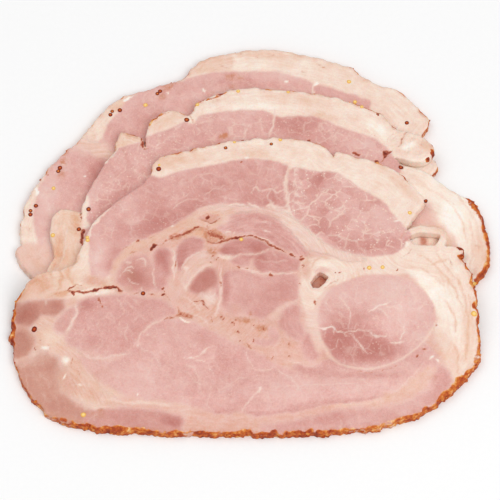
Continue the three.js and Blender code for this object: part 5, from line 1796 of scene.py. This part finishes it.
def main() -> None:
    """Builds the fan of slices, its seeds and crumbs, and the studio."""
    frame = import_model()
    back = HamSlice(
        "slice_back", 0.66, BACK_MARKS, [],
        (Rind((90, 0), (-110, 0), 0.34, 0.3, 0.7, 1.0), Rind((-88, 30), (-88, -30), 0.14, 0.6, 0.5, 0.5)), 31.0,
    )
    middle = HamSlice(
        "slice_middle", 0.62, MIDDLE_MARKS, [back],
        (Rind((94.5, -24), (93, 19), 0.86, 0.3, 2.0, 0.3), Rind((90, 40), (-70, 40), 0.42, 0.35, 0.8, 1.1)), 57.0,
    )
    front = HamSlice(
        "slice_front", 0.52, FRONT_MARKS, [back, middle],
        (Rind((-94.5, -26.5), (90.5, -13), 0.4, 0.15, 0.6, 0.25), Rind((-84, -86), (95, -66), 0.84, 0.5, 1.7, 0.8),
         Rind((-95, -24), (-101.5, -61), 0.9, 0.5, 1.6, 0.3), Rind((88, -90), (88, -10), 0.86, 0.2, 1.5, 0.3),
         Rind((80, 20), (-60, 25), 0.42, 0.35, 0.8, 1.1)), 83.0,
        knobs=((-104.5, -46, 1.5), (-104.2, -54, 1.3), (96.8, -37, 0.9), (92, -71, 0.8)),
    )
    slices = {part.node: part for part in (back, middle, front)}
    ham = HamFinish().build()
    for part in slices.values():
        part.read_plan(frame["nodes"][part.node])
        piece = part.build(ham)
        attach(piece, "root")
        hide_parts(part.node)
        LOG.info("%s: %d faces", piece.name, len(piece.data.polygons))
    brown = SeedFinish("brown_seed_cut", (124, 30, 10), (184, 72, 28), (228, 134, 62))
    yellow = SeedFinish("yellow_seed_skin", (244, 190, 96), (252, 216, 132), (253, 228, 168))
    seeds = (
        (Seeds("brown_seeds", "brown_seed", BROWN_SEEDS, 0.12), brown),
        (Seeds("yellow_seeds", "yellow_seed", YELLOW_SEEDS, 0.25), yellow),
    )
    for kind, finish in seeds:
        piece = kind.build(slices, finish.build())
        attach(piece, "root")
        LOG.info("%s: %d faces", piece.name, len(piece.data.polygons))
    crumbs = Crumbs("rind_crumbs", "rind_crumb")
    piece = crumbs.build(slices, CrumbFinish().build())
    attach(piece, "root")
    LOG.info("%s: %d faces", piece.name, len(piece.data.polygons))
    Studio().build()


if __name__ == "__main__":
    logging.basicConfig(level=logging.INFO, format="%(name)s %(message)s")
    main()
